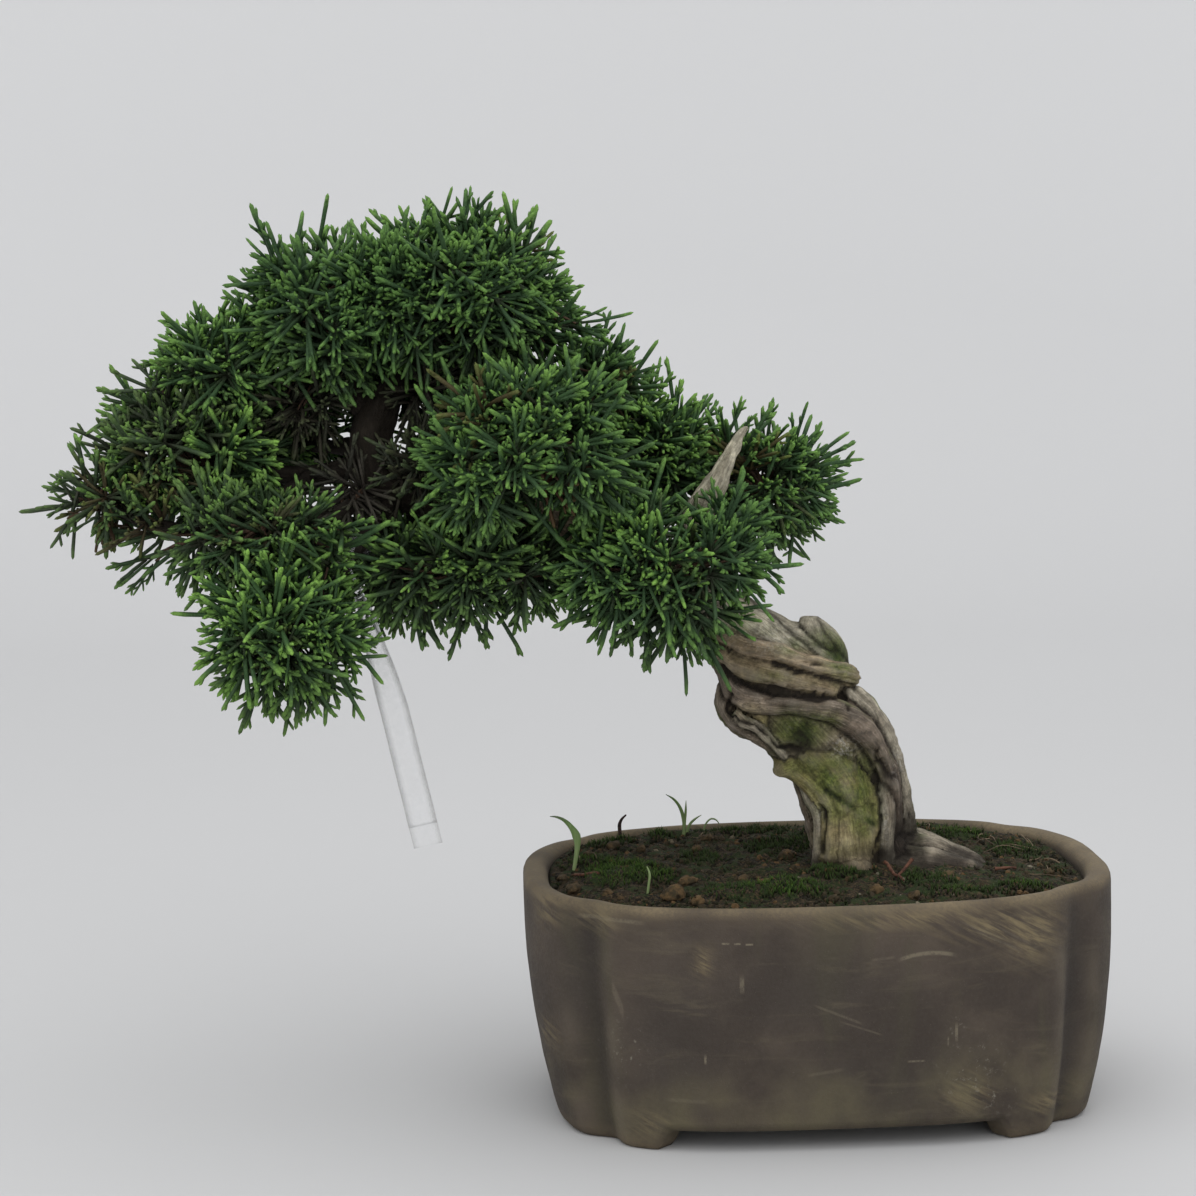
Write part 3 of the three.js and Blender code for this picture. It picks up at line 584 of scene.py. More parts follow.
def soilHeights(x, y):
    x, y = np.asarray(x, dtype=float), np.asarray(y, dtype=float)
    edge = taperAt(soil["edgeTop"]) + pot["wall"] + soil["clearance"]
    edgeX, edgeY = planAt(np.arctan2(y, x), soil["edgeTop"], edge)
    share = np.clip(np.hypot(x, y) / np.hypot(edgeX, edgeY), 0, 1)
    lumps = np.sin(x * 0.23 + 1) * np.cos(y * 0.29) + 0.6 * np.sin(x * 0.51 - y * 0.43)
    height = soil["edgeTop"] + soil["mound"] * (1 - share**2) + 0.7 * lumps * (1 - share**4)
    for middleX, middleY, halfX, halfY, tall, _ in mossCushions:
        away = ovalShare(x - middleX, y - middleY, halfX, halfY)
        height += tall * 0.75 * np.clip(1 - away, 0, 1) ** 0.6
    return height - 1.2 * smoothStep(0.9, 1.0, share) + soil["backRise"] * smoothStep(5, 45, y)


def makeSoilEarth():
    material, tree, surface = newMaterial("barkySoil", 0.95, 0.2)
    place = objectPlace(tree)
    clumps = noiseNode(place, 260, 4, 0.65)
    crumbs = noiseNode(place, 1100, 3, 0.7)
    algae = noiseNode(place, 150, 4, 0.7)
    colour = layered(
        tree,
        twoTone(clumps, 0.4, 0.65, (0.009, 0.007, 0.005), (0.04, 0.03, 0.018)),
        (between(crumbs, 0.5, 0.62, (0, 0.8)), (0.1, 0.068, 0.036)),
        (times(between(algae, 0.45, 0.58), 0.75), (0.022, 0.04, 0.01)),
    )
    paint(surface, colour)
    addBump(surface, crumbs, 0.0009)
    return material


def makeSoilBed():
    angles = np.linspace(0, 2 * math.pi, soil["around"], endpoint=False)
    bottom, edgeTop = pot["floorTop"] + pot["floorGap"], soil["edgeTop"]
    rings = []
    for z, extra in ((bottom, 2), (17, 0), (38, 0), (60, 0), (edgeTop - 3, 0)):
        x, y = planAt(angles, z, taperAt(z) + pot["wall"] + soil["clearance"] + extra)
        rings.append(columns(x, y, np.full_like(x, z)))
    edgeX, edgeY = planAt(angles, edgeTop, pot["wall"] + soil["clearance"])
    for share in np.linspace(1, 0.02, soil["ringsOfTop"]):
        x, y = edgeX * share, edgeY * share
        spots = columns(x, y, 0 * x)
        rough = noiseAt(spots, 4.0, 3.0, 3) * 0.8 + noiseAt(spots, 11.0, 6.0) * 0.7
        rings.append(columns(x, y, soilHeights(x, y) + rough * (share < 0.995)))
    keep(newPiece("soil_bed", *closedRings(rings), makeSoilEarth()), "soil", "soil")


# Node trees that place small things: each has named inputs and ends as plain geometry


def newTree(name, inputs):
    tree = bpy.data.node_groups.new(name, "GeometryNodeTree")
    tree.interface.new_socket("Geometry", in_out="INPUT", socket_type="NodeSocketGeometry")
    for label, kind, value in inputs:
        socket = tree.interface.new_socket(label, in_out="INPUT", socket_type="NodeSocket" + kind)
        if value is not None:
            socket.default_value = value
    tree.interface.new_socket("Geometry", in_out="OUTPUT", socket_type="NodeSocketGeometry")
    return tree, tree.nodes.new("NodeGroupInput").outputs, tree.nodes.new("NodeGroupOutput")


def runTree(piece, tree, values):
    modifier = piece.modifiers.new(tree.name, "NODES")
    modifier.node_group = tree
    for item in tree.interface.items_tree:
        if item.in_out == "INPUT" and item.name in values:
            modifier[item.identifier] = values[item.name]
    bpy.context.view_layer.update()
    return freeze(piece)


def randomNode(low, high, seed, salt, kind="FLOAT"):
    tree = seed.id_data
    made = tree.nodes.new("FunctionNodeRandomValue")
    made.data_type = kind
    spot = {"FLOAT": (2, 3, 1), "FLOAT_VECTOR": (0, 1, 0)}[kind]  # its sockets for low, high and result
    for socket, value in ((made.inputs[spot[0]], low), (made.inputs[spot[1]], high)):
        if isinstance(value, bpy.types.NodeSocket):
            tree.links.new(value, socket)
        else:
            socket.default_value = value
    tree.links.new(maths("ADD", seed, float(salt)), made.inputs["Seed"])
    return made.outputs[spot[2]]


def namedNode(tree, name, kind="FLOAT"):
    made = addNode(tree, "GeometryNodeInputNamedAttribute", {"Name": name}, data_type=kind)
    return made.outputs["Attribute"]


def endTree(tree, end, geometry, material):
    real = madeBy(tree, "GeometryNodeRealizeInstances", {"Geometry": geometry})
    painted = madeBy(tree, "GeometryNodeSetMaterial", {"Geometry": real, "Material": material})
    tree.links.new(painted, end.inputs[0])


# Things picked from a collection, one on each point, each with a tone of its own.
def placeThings(tree, points, things, turn, size, tone):
    inputs = {"Collection": things, "Separate Children": True, "Reset Children": True}
    picked = madeBy(tree, "GeometryNodeCollectionInfo", inputs)
    inputs = {"Points": points, "Instance": picked, "Pick Instance": True, "Rotation": turn, "Scale": size}
    placed = madeBy(tree, "GeometryNodeInstanceOnPoints", inputs)
    inputs = {"Geometry": placed, "Name": "tone", "Value": tone}
    return madeBy(tree, "GeometryNodeStoreNamedAttribute", inputs, domain="INSTANCE")


# Things strewn over a surface at random: grains, crumbs of bark, moss leaves.
def strewTree():
    inputs = [
        ("Things", "Collection", None), ("Gap", "Float", 0.002), ("Most", "Float", 200000.0),
        ("Least Scale", "Float", 0.7), ("Full Scale", "Float", 1.2), ("Tilt", "Float", 3.0),
        ("Lift", "Float", 0.0), ("Finish", "Material", None), ("Seed", "Int", 0),
    ]
    tree, take, end = newTree("strewOverSurface", inputs)
    seed = take["Seed"]
    inputs = {
        "Mesh": take["Geometry"], "Distance Min": take["Gap"], "Density Max": take["Most"],
        "Density Factor": namedNode(tree, "cover"), "Seed": seed,
    }
    spread = addNode(
        tree, "GeometryNodeDistributePointsOnFaces", inputs, distribute_method="POISSON"
    ).outputs
    inputs = {"Geometry": spread["Points"], "Offset": scaled(tree, spread["Normal"], take["Lift"])}
    moved = madeBy(tree, "GeometryNodeSetPosition", inputs)
    tilt = scaled(tree, (1.0, 1.0, 0.0), take["Tilt"])
    lean = randomNode(scaled(tree, tilt, -1.0), tilt, seed, 11, "FLOAT_VECTOR")
    spin = madeBy(tree, "ShaderNodeCombineXYZ", {"Z": randomNode(0.0, 6.283, seed, 12)})
    turn = madeBy(tree, "ShaderNodeVectorMath", {0: lean, 1: spin}, operation="ADD")
    size = randomNode(take["Least Scale"], take["Full Scale"], seed, 13)
    tone = randomNode(0.0, 1.0, seed, 14)
    endTree(tree, end, placeThings(tree, moved, take["Things"], turn, size, tone), take["Finish"])
    return tree


# A collection, out of sight, of small template shapes, each given as points, faces and tips, the last a
# value for each point that runs from 0 at its foot to 1 at its end.
def templates(name, shapes, smooth=True):
    box = bpy.data.collections.new(name)
    for number, (points, faces, tips) in enumerate(shapes):
        mesh = bpy.data.meshes.new(f"{name}_{number}")
        mesh.from_pydata((np.asarray(points, dtype=float) * mm).tolist(), [], [tuple(f) for f in faces])
        mesh.attributes.new("tip", "FLOAT", "POINT").data.foreach_set("value", tips)
        mesh.polygons.foreach_set("use_smooth", [smooth] * len(mesh.polygons))
        box.objects.link(bpy.data.objects.new(mesh.name, mesh))
    return box


def stoneShape(rng, size, flat=0.75, level=1):
    stone = bmesh.new()
    bmesh.ops.create_icosphere(stone, subdivisions=level, radius=size / 2)
    squash = Vector((rng.uniform(0.8, 1.2), rng.uniform(0.75, 1.1), flat))
    shift = Vector((rng.uniform(0, 50), rng.uniform(0, 50), 0))
    points = []
    for v in stone.verts:
        bumpy = 1 + 0.3 * noise.noise(v.co / (size * 0.4) + shift)
        points.append(tuple(c * s * bumpy for c, s in zip(v.co, squash)))
    faces = [[v.index for v in f.verts] for f in stone.faces]
    stone.free()
    return points, faces, [0.5] * len(points)


# A tapering cord through some points, its end pointed, with a tip value for each point of the line.
def cordShape(line, radii, tips, sides=3):
    points, marks = [], []
    line = [Vector(p) for p in line]
    for i, at in enumerate(line[:-1]):
        along = (line[i + 1] - line[max(i - 1, 0)]).normalized()
        aside = along.orthogonal().normalized()
        other = along.cross(aside)
        for k in range(sides):
            angle = 2 * math.pi * k / sides
            points.append(at + (aside * math.cos(angle) + other * math.sin(angle)) * radii[i])
            marks.append(tips[i])
    points.append(line[-1])
    marks.append(tips[-1])
    rings = len(line) - 1
    faces = facesBetween(rings, sides)
    for k in range(sides):
        faces.append(((rings - 1) * sides + k, (rings - 1) * sides + (k + 1) % sides, len(points) - 1))
    faces.append(tuple(range(sides - 1, -1, -1)))
    return points, faces, marks


def makeGrainFinish():
    material, tree, surface = newMaterial("soilGrains", 0.93, 0.2)
    tone = attributeOf(tree, "tone")
    fine = noiseNode(objectPlace(tree), 1500, 2, 0.6)
    colour = layered(
        tree,
        twoTone(tone, 0.0, 0.8, (0.014, 0.012, 0.008), (0.055, 0.04, 0.024)),
        (between(tone, 0.86, 0.94), (0.12, 0.07, 0.032)),
        (between(tone, 0.99, 0.994), (0.2, 0.18, 0.13)),
        (between(fine, 0.4, 0.7, (0, 0.5)), (0.02, 0.026, 0.01)),
    )
    paint(surface, colour)
    addBump(surface, fine, 0.0003)
    return material


def makeClodFinish():
    material, tree, surface = newMaterial("bakedClay", 0.9, 0.2)
    place = objectPlace(tree)
    soft = noiseNode(place, 300, 4, 0.65)
    fine = noiseNode(place, 1400, 3, 0.7)
    colour = layered(
        tree,
        blendColour(attributeOf(tree, "tone"), (0.07, 0.052, 0.03), (0.14, 0.085, 0.037)),
        (between(soft, 0.4, 0.6, (0, 0.9)), (0.035, 0.028, 0.016)),
        (between(fine, 0.58, 0.72, (0, 0.5)), (0.03, 0.045, 0.014)),
    )
    paint(surface, colour)
    addBump(surface, fine, 0.0005)
    return material


def makeMossFinish():
    material, tree, surface = newMaterial("mossLeaves", 0.7, 0.25)
    green = blendColour(attributeOf(tree, "tone"), (0.03, 0.075, 0.008), (0.085, 0.16, 0.015))
    green = blendColour(times(attributeOf(tree, "bright"), 0.85), (0.022, 0.034, 0.01), green)
    green = twoTone(attributeOf(tree, "tip"), 0.0, 0.8, (0.012, 0.014, 0.006), green)
    paint(surface, green)
    return material


# The soil's top on its own, as a sheet to strew on, with a share of cover at each point.
def soilSheet(name, cover, bright=None):
    angles = np.linspace(0, 2 * math.pi, soil["sheetAround"], endpoint=False)
    edgeX, edgeY = planAt(angles, soil["edgeTop"], pot["wall"] + soil["clearance"] + soil["sheetInset"])
    points = []
    for share in np.linspace(0.02, 1, soil["sheetRings"]):
        x, y = edgeX * share, edgeY * share
        points.append(columns(x, y, soilHeights(x, y)))
    points = np.concatenate(points)
    piece = newPiece(name, points, facesBetween(soil["sheetRings"], soil["sheetAround"]))
    setAttributes(piece, cover=cover(points))
    if bright:
        setAttributes(piece, bright=bright(points))
    return piece


# How far each point lies on a cushion of moss, weighed by the cushion's brightness where asked.
def mossShare(points, weighed=False):
    share = np.zeros(len(points))
    for middleX, middleY, halfX, halfY, _, brightness in mossCushions:
        away = ovalShare(points[:, 0] - middleX, points[:, 1] - middleY, halfX, halfY)
        share = np.maximum(share, np.clip(1.25 - away, 0, 1) ** 0.5 * (brightness if weighed else 1))
    return share


# Where the roots leave the soil, so that nothing is strewn there.
def rootShare(points):
    return np.exp(-(ovalShare(points[:, 0] - 16, points[:, 1] - 1, 17, 15) ** 2))


def makeGrains(strew):
    rng = random.Random(soil["seeds"]["stones"])
    stones = [stoneShape(rng, soil["grainSize"]) for _ in range(6)]
    sheet = soilSheet("soil_grains", lambda p: np.clip(1 - 0.75 * mossShare(p) - rootShare(p), 0, 1))
    values = {
        "Things": templates("grains", stones, smooth=False), "Gap": soil["grainGap"] * mm, "Most": 400000.0,
        "Least Scale": 0.4, "Full Scale": 1.25, "Tilt": 3.1, "Lift": 0.0003, "Finish": makeGrainFinish(),
        "Seed": soil["seeds"]["grains"],
    }
    keep(runTree(sheet, strew, values), "soil")


def makeMoss(strew):
    rng = random.Random(soil["seeds"]["leaves"])
    leaves = []
    for _ in range(6):
        cords = []
        for _ in range(3):
            angle, lean = rng.uniform(0, 6.28), rng.uniform(0.1, 0.75)
            tall = rng.uniform(1.4, 2.5)
            tip = (math.cos(angle) * lean * tall, math.sin(angle) * lean * tall, tall)
            foot = (math.cos(angle) * 0.25, math.sin(angle) * 0.25, -0.4)
            middle = (tip[0] * 0.4, tip[1] * 0.4, tall * 0.55)
            cords.append(cordShape([foot, middle, tip], [0.16, 0.13], [0, 0.6, 1]))
        leaves.append(joined(cords))

    def cover(points):
        edge = 0.16 * smoothStep(0.2, 0.7, noiseAt(points, 6.0, 13.0)) + 0.03
        return np.clip(np.maximum(mossShare(points), edge) - rootShare(points) * 0.6, 0, 1)

    def bright(points):
        patchy = 0.8 + 0.4 * noiseAt(points, 7.0, 21.0)
        return np.clip(mossShare(points, weighed=True) * patchy + 0.12, 0, 1)

    values = {
        "Things": templates("mossLeaves", leaves), "Gap": soil["mossGap"] * mm, "Most": 1500000.0,
        "Least Scale": 0.6, "Full Scale": 1.15, "Tilt": 0.35, "Lift": 0.0, "Finish": makeMossFinish(),
        "Seed": soil["seeds"]["moss"],
    }
    keep(runTree(soilSheet("moss", cover, bright), strew, values), "soil")


def makeClods():
    rng = random.Random(soil["seeds"]["clods"])
    shapes = []
    for x, y, radius, redness in clods:
        stone, faces, _ = stoneShape(rng, radius * 1.45, 0.7, 3)
        z = float(soilHeights(x, y)) + radius * 0.25
        shapes.append(([(px + x, py + y, pz + z) for px, py, pz in stone], faces, [redness] * len(stone)))
    points, faces, tones = joined(shapes)
    points = np.array(points)
    points += noiseAt(points, 1.1, 4.0, 3)[:, None] * 0.45
    piece = newPiece("clods", points, faces, makeClodFinish())
    setAttributes(piece, tone=tones)
    keep(piece, "soil")


print("soil, grains, clods and moss")
makeSoilBed()
strew = strewTree()
makeGrains(strew)
makeMoss(strew)
makeClods()


# Wood: the trunk, its strands of deadwood and the branches, as [x, y, z, radius] lines

trunkLine = [
    [14.5, 6.5, 46, 13], [14.5, 4.5, 60, 17], [14.5, 3.5, 70, 16.5], [14, 3.5, 82, 14.5],
    [11, 2.5, 95.5, 15.5], [6, 1.5, 107.5, 17], [-2.5, 1.5, 119.5, 19], [-11.5, 2.5, 131, 17],
    [-23, 3.5, 142, 14.5], [-37, 4.5, 152.5, 12.5], [-53.5, 7.5, 164, 10.5], [-74.5, 8.5, 176, 9.5],
    [-95, 7.5, 185.5, 8.8], [-116, 5.5, 190, 8.6], [-130, 3.5, 196.5, 8.2], [-133.5, 3.5, 208.5, 7],
    [-127.5, 6.5, 221.5, 5.6], [-116, 8.5, 234, 4.4], [-103, 5.5, 246, 2.8],
]

stripLine = [
    (-138, -12, 174), (-137, -13, 170.5), (-134.5, -16, 156.5), (-127.5, -18, 127.5), (-119, -19, 85)
]


# Distance from each point to the nearest of some rods' surfaces, given as (start, end, radius, radius).
def rodDepth(points, rods):
    nearest = np.full(len(points), 1e9)
    for a, b, ra, rb in rods:
        a, b = np.array(a, float), np.array(b, float)
        t = np.clip((points - a) @ (b - a) / ((b - a) @ (b - a)), 0, 1)
        gap = np.linalg.norm(points - (a + t[:, None] * (b - a)), axis=1) - (ra + (rb - ra) * t)
        nearest = np.minimum(nearest, gap)
    return nearest


def woodDepth(points):
    return rodDepth(points, [(p[:3], q[:3], p[3], q[3]) for p, q in zip(trunkLine, trunkLine[1:])])


def stripDepth(points, radius=4.5):
    return rodDepth(points, [(a, b, radius, radius) for a, b in zip(stripLine, stripLine[1:])])


# The branch that carries each cloud, as [x, y, z, radius] from the trunk out.
branches = {
    "crown_right": [[-103, 5.5, 246, 2.8], [-100, 3, 250, 2]],
    "crown_left": [
        [-132.5, 4.5, 210.5, 4.2], [-139.5, 4.5, 223.5, 3.2], [-146, 3.5, 238, 2.4], [-148, 3.5, 247, 1.6]
    ],
    "crown_back": [
        [-130.5, 6.5, 215.5, 3.6], [-127.5, 23.5, 225.5, 2.8], [-124, 37.5, 233.5, 2.2],
        [-123, 44.5, 237.5, 1.6],
    ],
    "shoulder_left": [
        [-138.5, 4.5, 220.5, 3], [-156.5, 7, 223, 2.6], [-172.5, 8, 229.5, 2.1], [-182, 8, 233.5, 1.5]
    ],
    "left_middle": [
        [-131, 3.5, 200.5, 4], [-151, 6, 197, 3.2], [-171, 7, 198.5, 2.4], [-185, 7, 200.5, 1.7]
    ],
    "left_back": [
        [-132, 5.5, 204.5, 3.4], [-147, 21.5, 205, 2.7], [-160.5, 37, 206, 2.1], [-169.5, 45, 207.5, 1.5]
    ],
    "left_tip": [
        [-153, 4, 196, 2.8], [-171.5, -10, 184.5, 2.4], [-195.5, -9, 183, 2], [-219, -2, 191.5, 1.4]
    ],
    "left_front": [
        [-131, 1.5, 191.5, 3], [-143.5, -8, 186, 2.5], [-155.5, -16, 183, 1.9], [-164.5, -20, 183, 1.4]
    ],
    "left_ball": [
        [-126, 2.5, 188.5, 3.8], [-134.5, -8.5, 179.5, 3], [-141.5, -16, 168.5, 2.6], [-154, -24, 156, 2.1],
        [-161, -26, 150, 1.5],
    ],
    "middle_front": [
        [-85.5, 7.5, 180.5, 4], [-86, -6.5, 188.5, 3], [-87, -20.5, 198.5, 2.3], [-88, -31.5, 204.5, 1.6]
    ],
    "middle_low": [
        [-101, 6.5, 187, 3.4], [-102.5, -0.5, 179, 2.8], [-102.5, -8.5, 171, 2], [-102.5, -10.5, 167, 1.5]
    ],
    "right_low": [
        [-43, 3.5, 156.5, 4.2], [-43, -6.5, 159.5, 3.2], [-44, -18.5, 163.5, 2.3], [-44, -25.5, 165.5, 1.6]
    ],
    "right_back": [
        [-50, 8.5, 162.5, 3.8], [-50.5, 15.5, 181.5, 3], [-52, 20.5, 197.5, 2.2], [-52.5, 21.5, 206, 1.6]
    ],
    "far_right": [
        [-32, 7.5, 154.5, 4], [-21.5, 17.5, 169, 3.2], [-13, 26.5, 183, 2.2], [-9, 29.5, 190, 1.6]
    ],
    "middle_back": [
        [-81.5, 9.5, 180.5, 3.8], [-83, 25.5, 188.5, 2.9], [-86, 41.5, 196.5, 2.2], [-87, 50.5, 199.5, 1.6]
    ],
    "low_back": [
        [-109, 6.5, 189, 3.2], [-117.5, 17.5, 182, 2.6], [-124.5, 28.5, 174.5, 2],
        [-127.5, 33.5, 171.5, 1.5],
    ],
}


# The wood inside the strands: the trunk's own line, leaner where strands lie on it.
coreLine = trunkLine[:2] + [
    [15, 3.5, 70, 15.5], [14.5, 3.5, 82, 13.8], [11, 2.5, 95.5, 14.8], [6.4, 1.5, 108.5, 15.8],
    [-1.6, 1.5, 120.5, 17], [-10.5, 2.5, 132, 15], [-21.5, 3.5, 144.4, 11.8], [-36, 4.5, 154.6, 10.6],
    [-53.5, 7.5, 165, 9.8],
] + trunkLine[11:]

# Strands that lie on the trunk, with the look of each: tan, grey or mossy deadwood, or live bark.
strands = {
    "liveVein": ("live", [
        [24, 0.5, 62, 6.6], [24.5, -2.5, 72, 5.8], [23.8, -4.5, 88, 4.9], [21.6, -6.5, 102, 5.1],
        [15.8, -9.5, 113.6, 5.4], [8, -12.5, 120.5, 4.9], [-3, -13, 123, 3.8], [-13, -11, 124.4, 3.7],
        [-23, -8, 127.4, 3.8], [-26.8, -4, 136.4, 3.4], [-35.8, 0, 149.4, 2.8],
    ]),
    "rightStreak": ("greyLive", [
        [11.6, -7.2, 126.6, 3.4], [16, -7.2, 121.6, 3.9], [19.6, -6, 115.4, 4.1], [22.6, -3.5, 108.5, 4.3],
        [24.8, -0.5, 98, 4.7], [26.6, 1.5, 86, 5.6], [27, 3, 74, 6.6], [28, 4, 62, 7],
    ]),
    "upperStrand": ("tan", [
        [12.8, -9.6, 131.5, 3.3], [9.8, -10.8, 132.8, 3.5], [3.2, -12, 134.6, 3.4], [-4.1, -12, 137, 3.3],
        [-11.3, -10.8, 139.4, 3.3], [-20.6, -7.8, 142, 3.4], [-31, -4, 147.5, 3.6], [-42, 0.5, 155.5, 3.6],
    ]),
    "secondStrand": ("brown", [
        [6.5, -12, 127.8, 2.2], [0, -13, 130, 3], [-7.5, -12.4, 132.2, 3.4], [-16.5, -10, 134.6, 3.6],
        [-25.5, -6.4, 138.4, 3.6], [-34, -2, 147.5, 3.4], [-44, 2, 156, 3],
    ]),
    "lipFill": ("brown", [[-20.5, -1.5, 125, 5], [-14, -3, 119.5, 6]]),
    "creviceFill": ("brown", [
        [6, -9.4, 125.6, 2.8], [-5, -9.8, 127.2, 3], [-16, -8, 129.8, 3.2], [-25, -4.6, 133.8, 3.2],
    ]),
    "rightBark": ("greyLive", [
        [20, -6.4, 105, 3], [21, -7.6, 97, 3.4], [22.4, -8.2, 89, 3.6], [22, -8.2, 81, 3.6],
        [22, -7.2, 70, 4],
    ]),
    "rootFlank": ("root", [
        [26, -2, 72.4, 8], [36, -8.2, 70, 7.8], [44, -10, 68.6, 6.8], [52, -9, 67, 5], [59, -7, 65, 3],
    ]),
    "rootMiddle": ("root", [
        [26, 1, 73, 8.6], [36, -1.6, 72.4, 7.8], [44, -3.6, 70.6, 6.4], [52, -4.8, 67.8, 4.8],
        [60, -5.4, 64, 2.6],
    ]),
    "stump": ("pale", [
        [7.5, 4.5, 122, 8], [6.8, 4, 131, 6.8], [5, 3, 138, 6], [2.2, 2.4, 143.6, 4.9], [0.5, 2, 149, 3.2],
    ]),
    "stumpSide": ("pale", [
        [9, 4, 126, 5], [8.4, 3.6, 134, 4.7], [7.6, 3, 139, 4.4], [4.8, 2.4, 143.6, 3.8],
        [2.4, 2, 147.4, 2.8],
    ]),
    "shoulder": ("pale", [
        [4, 3, 133, 9], [-6, 3.2, 140, 8], [-16, 3.2, 147, 7], [-26, 3.6, 154, 6], [-38, 4.5, 160.5, 4.4],
    ]),
    "outerLip": ("lip", [
        [-23.4, -1, 131.4, 2.4], [-26.2, -3, 127.6, 2.9], [-27, -4.4, 123.2, 2.9], [-25.4, -6, 119, 2.9],
        [-22, -7, 116.6, 2.8], [-17.6, -7.4, 114, 2.7], [-13, -7.6, 111.4, 2.5], [-9.8, -7.6, 108.8, 2],
    ]),
    "innerLip": ("greyLip", [
        [-24.4, -9.4, 121.6, 1.4], [-22, -10.6, 119.2, 1.6], [-17.6, -11.4, 117, 1.6],
        [-14, -11.6, 113.6, 1.6], [-11.4, -11, 110.4, 1.5], [-9.4, -10.2, 107.4, 1.3],
    ]),
    "knob": ("belly", [
        [0, -4.5, 106, 5.6], [-6.2, -5.6, 104.2, 5], [-9.4, -6, 103, 4], [-11.4, -6, 101.8, 1.9],
    ]),
    "lowRidge": ("ochre", [
        [-6, -7, 103, 3.2], [-2, -9.5, 99.6, 3], [2, -11.6, 95.6, 2.8], [4.2, -12.4, 91.4, 2.8],
        [4.6, -12.2, 84, 3], [4, -11.4, 76, 3.2],
    ]),
    "lowLip": ("greyLip", [
        [-3, -5, 98.6, 2], [-1.2, -8, 94.6, 2.2], [0.8, -10.4, 90.4, 2.2], [1, -11, 84.4, 2.1],
        [0.8, -10.4, 77, 2.2], [0.8, -8, 68, 2.6],
    ]),
    "leftEdge": ("live", [
        [-4.4, -2.6, 98, 2], [-2.4, -3.6, 93, 2.4], [-0.2, -4, 86, 2.6], [1.4, -3.6, 77, 2.8],
        [1.6, -2, 66, 3.4],
    ]),
    "face": ("belly", [
        [-12, -3.5, 121.4, 7.6], [-4, -3.6, 115, 9.2], [4, -4.4, 107.4, 10.4], [9, -5, 98, 10.6],
        [10.4, -5.2, 88, 9.8], [10.8, -4.6, 77, 9.8], [10.8, -3, 66, 10.4],
    ]),
    "belly": ("belly", [
        [8.5, -2, 106, 8], [10.4, -5.4, 95, 8.8], [11.6, -7.2, 86, 8.6], [11.6, -6.6, 77, 9],
        [11, -5, 68, 9.6],
    ]),
    "spike": ("jin", [
        [-41, 2.5, 153.5, 8.4], [-36.5, -0.5, 170.5, 6.4], [-31.6, -1.8, 184.6, 5], [-26, -2.6, 195.6, 3.4],
        [-20.6, -3.4, 205.6, 1.9], [-18.4, -3.5, 209, 1.1],
    ]),
    "surfaceRoot": ("root", [
        [18, 4, 70, 9.5], [29, 5, 73.8, 8.2], [37.5, 4, 72.8, 6.4], [46, 1.6, 70.2, 5],
        [53.5, -1, 67.4, 3.8], [59, -2.4, 63, 2.2],
    ]),
    "rightFlare": ("live", [[25, -4, 82, 4.2], [27, -6.5, 75, 3.8], [29, -9, 69, 2.8]]),
    "frontRoot": ("belly", [[12, -6, 74, 8], [11.5, -13, 69, 6.4], [10, -21, 63.5, 3.6]]),
    "leftRoot": ("root", [[8, 0, 65, 8], [-8, -6, 63, 5], [-22, -10, 53, 3]]),
    "backRoot": ("root", [[12, 12, 65, 8], [4, 26, 66, 6], [-6, 38, 60, 4], [-12, 45, 52, 2.5]]),
    "backRightRoot": ("root", [[20, 12, 65, 8], [32, 28, 65, 5.5], [42, 39, 57, 3.5]]),
}

# How far each look leans to live bark, tan, grey, ochre, and how deep its fibres are.
woodLooks = {
    "core": (0.35, 0.3, 0.2, 0.15, 0.6),
    "live": (1.0, 0.0, 0.1, 0.0, 0.55),
    "greyLive": (0.35, 0.0, 0.85, 0.0, 0.8),
    "tan": (0.0, 1.0, 0.0, 0.1, 0.9),
    "brown": (0.25, 0.35, 0.0, 0.3, 0.8),
    "pale": (0.0, 0.35, 0.8, 0.0, 0.3),
    "bleached": (0.0, 0.35, 0.9, 0.05, 0.25),
    "lip": (0.85, 0.0, 0.3, 0.0, 0.7),
    "greyLip": (0.3, 0.1, 0.65, 0.0, 0.45),
    "ochre": (0.0, 0.3, 0.0, 1.0, 0.4),
    "belly": (0.0, 0.2, 0.0, 0.75, 0.28),
    "jin": (0.0, 0.75, 0.5, 0.0, 0.9),
    "root": (0.4, 0.15, 0.6, 0.0, 0.3),
    "branch": (1.0, 0.0, 0.0, 0.0, 0.8),
}
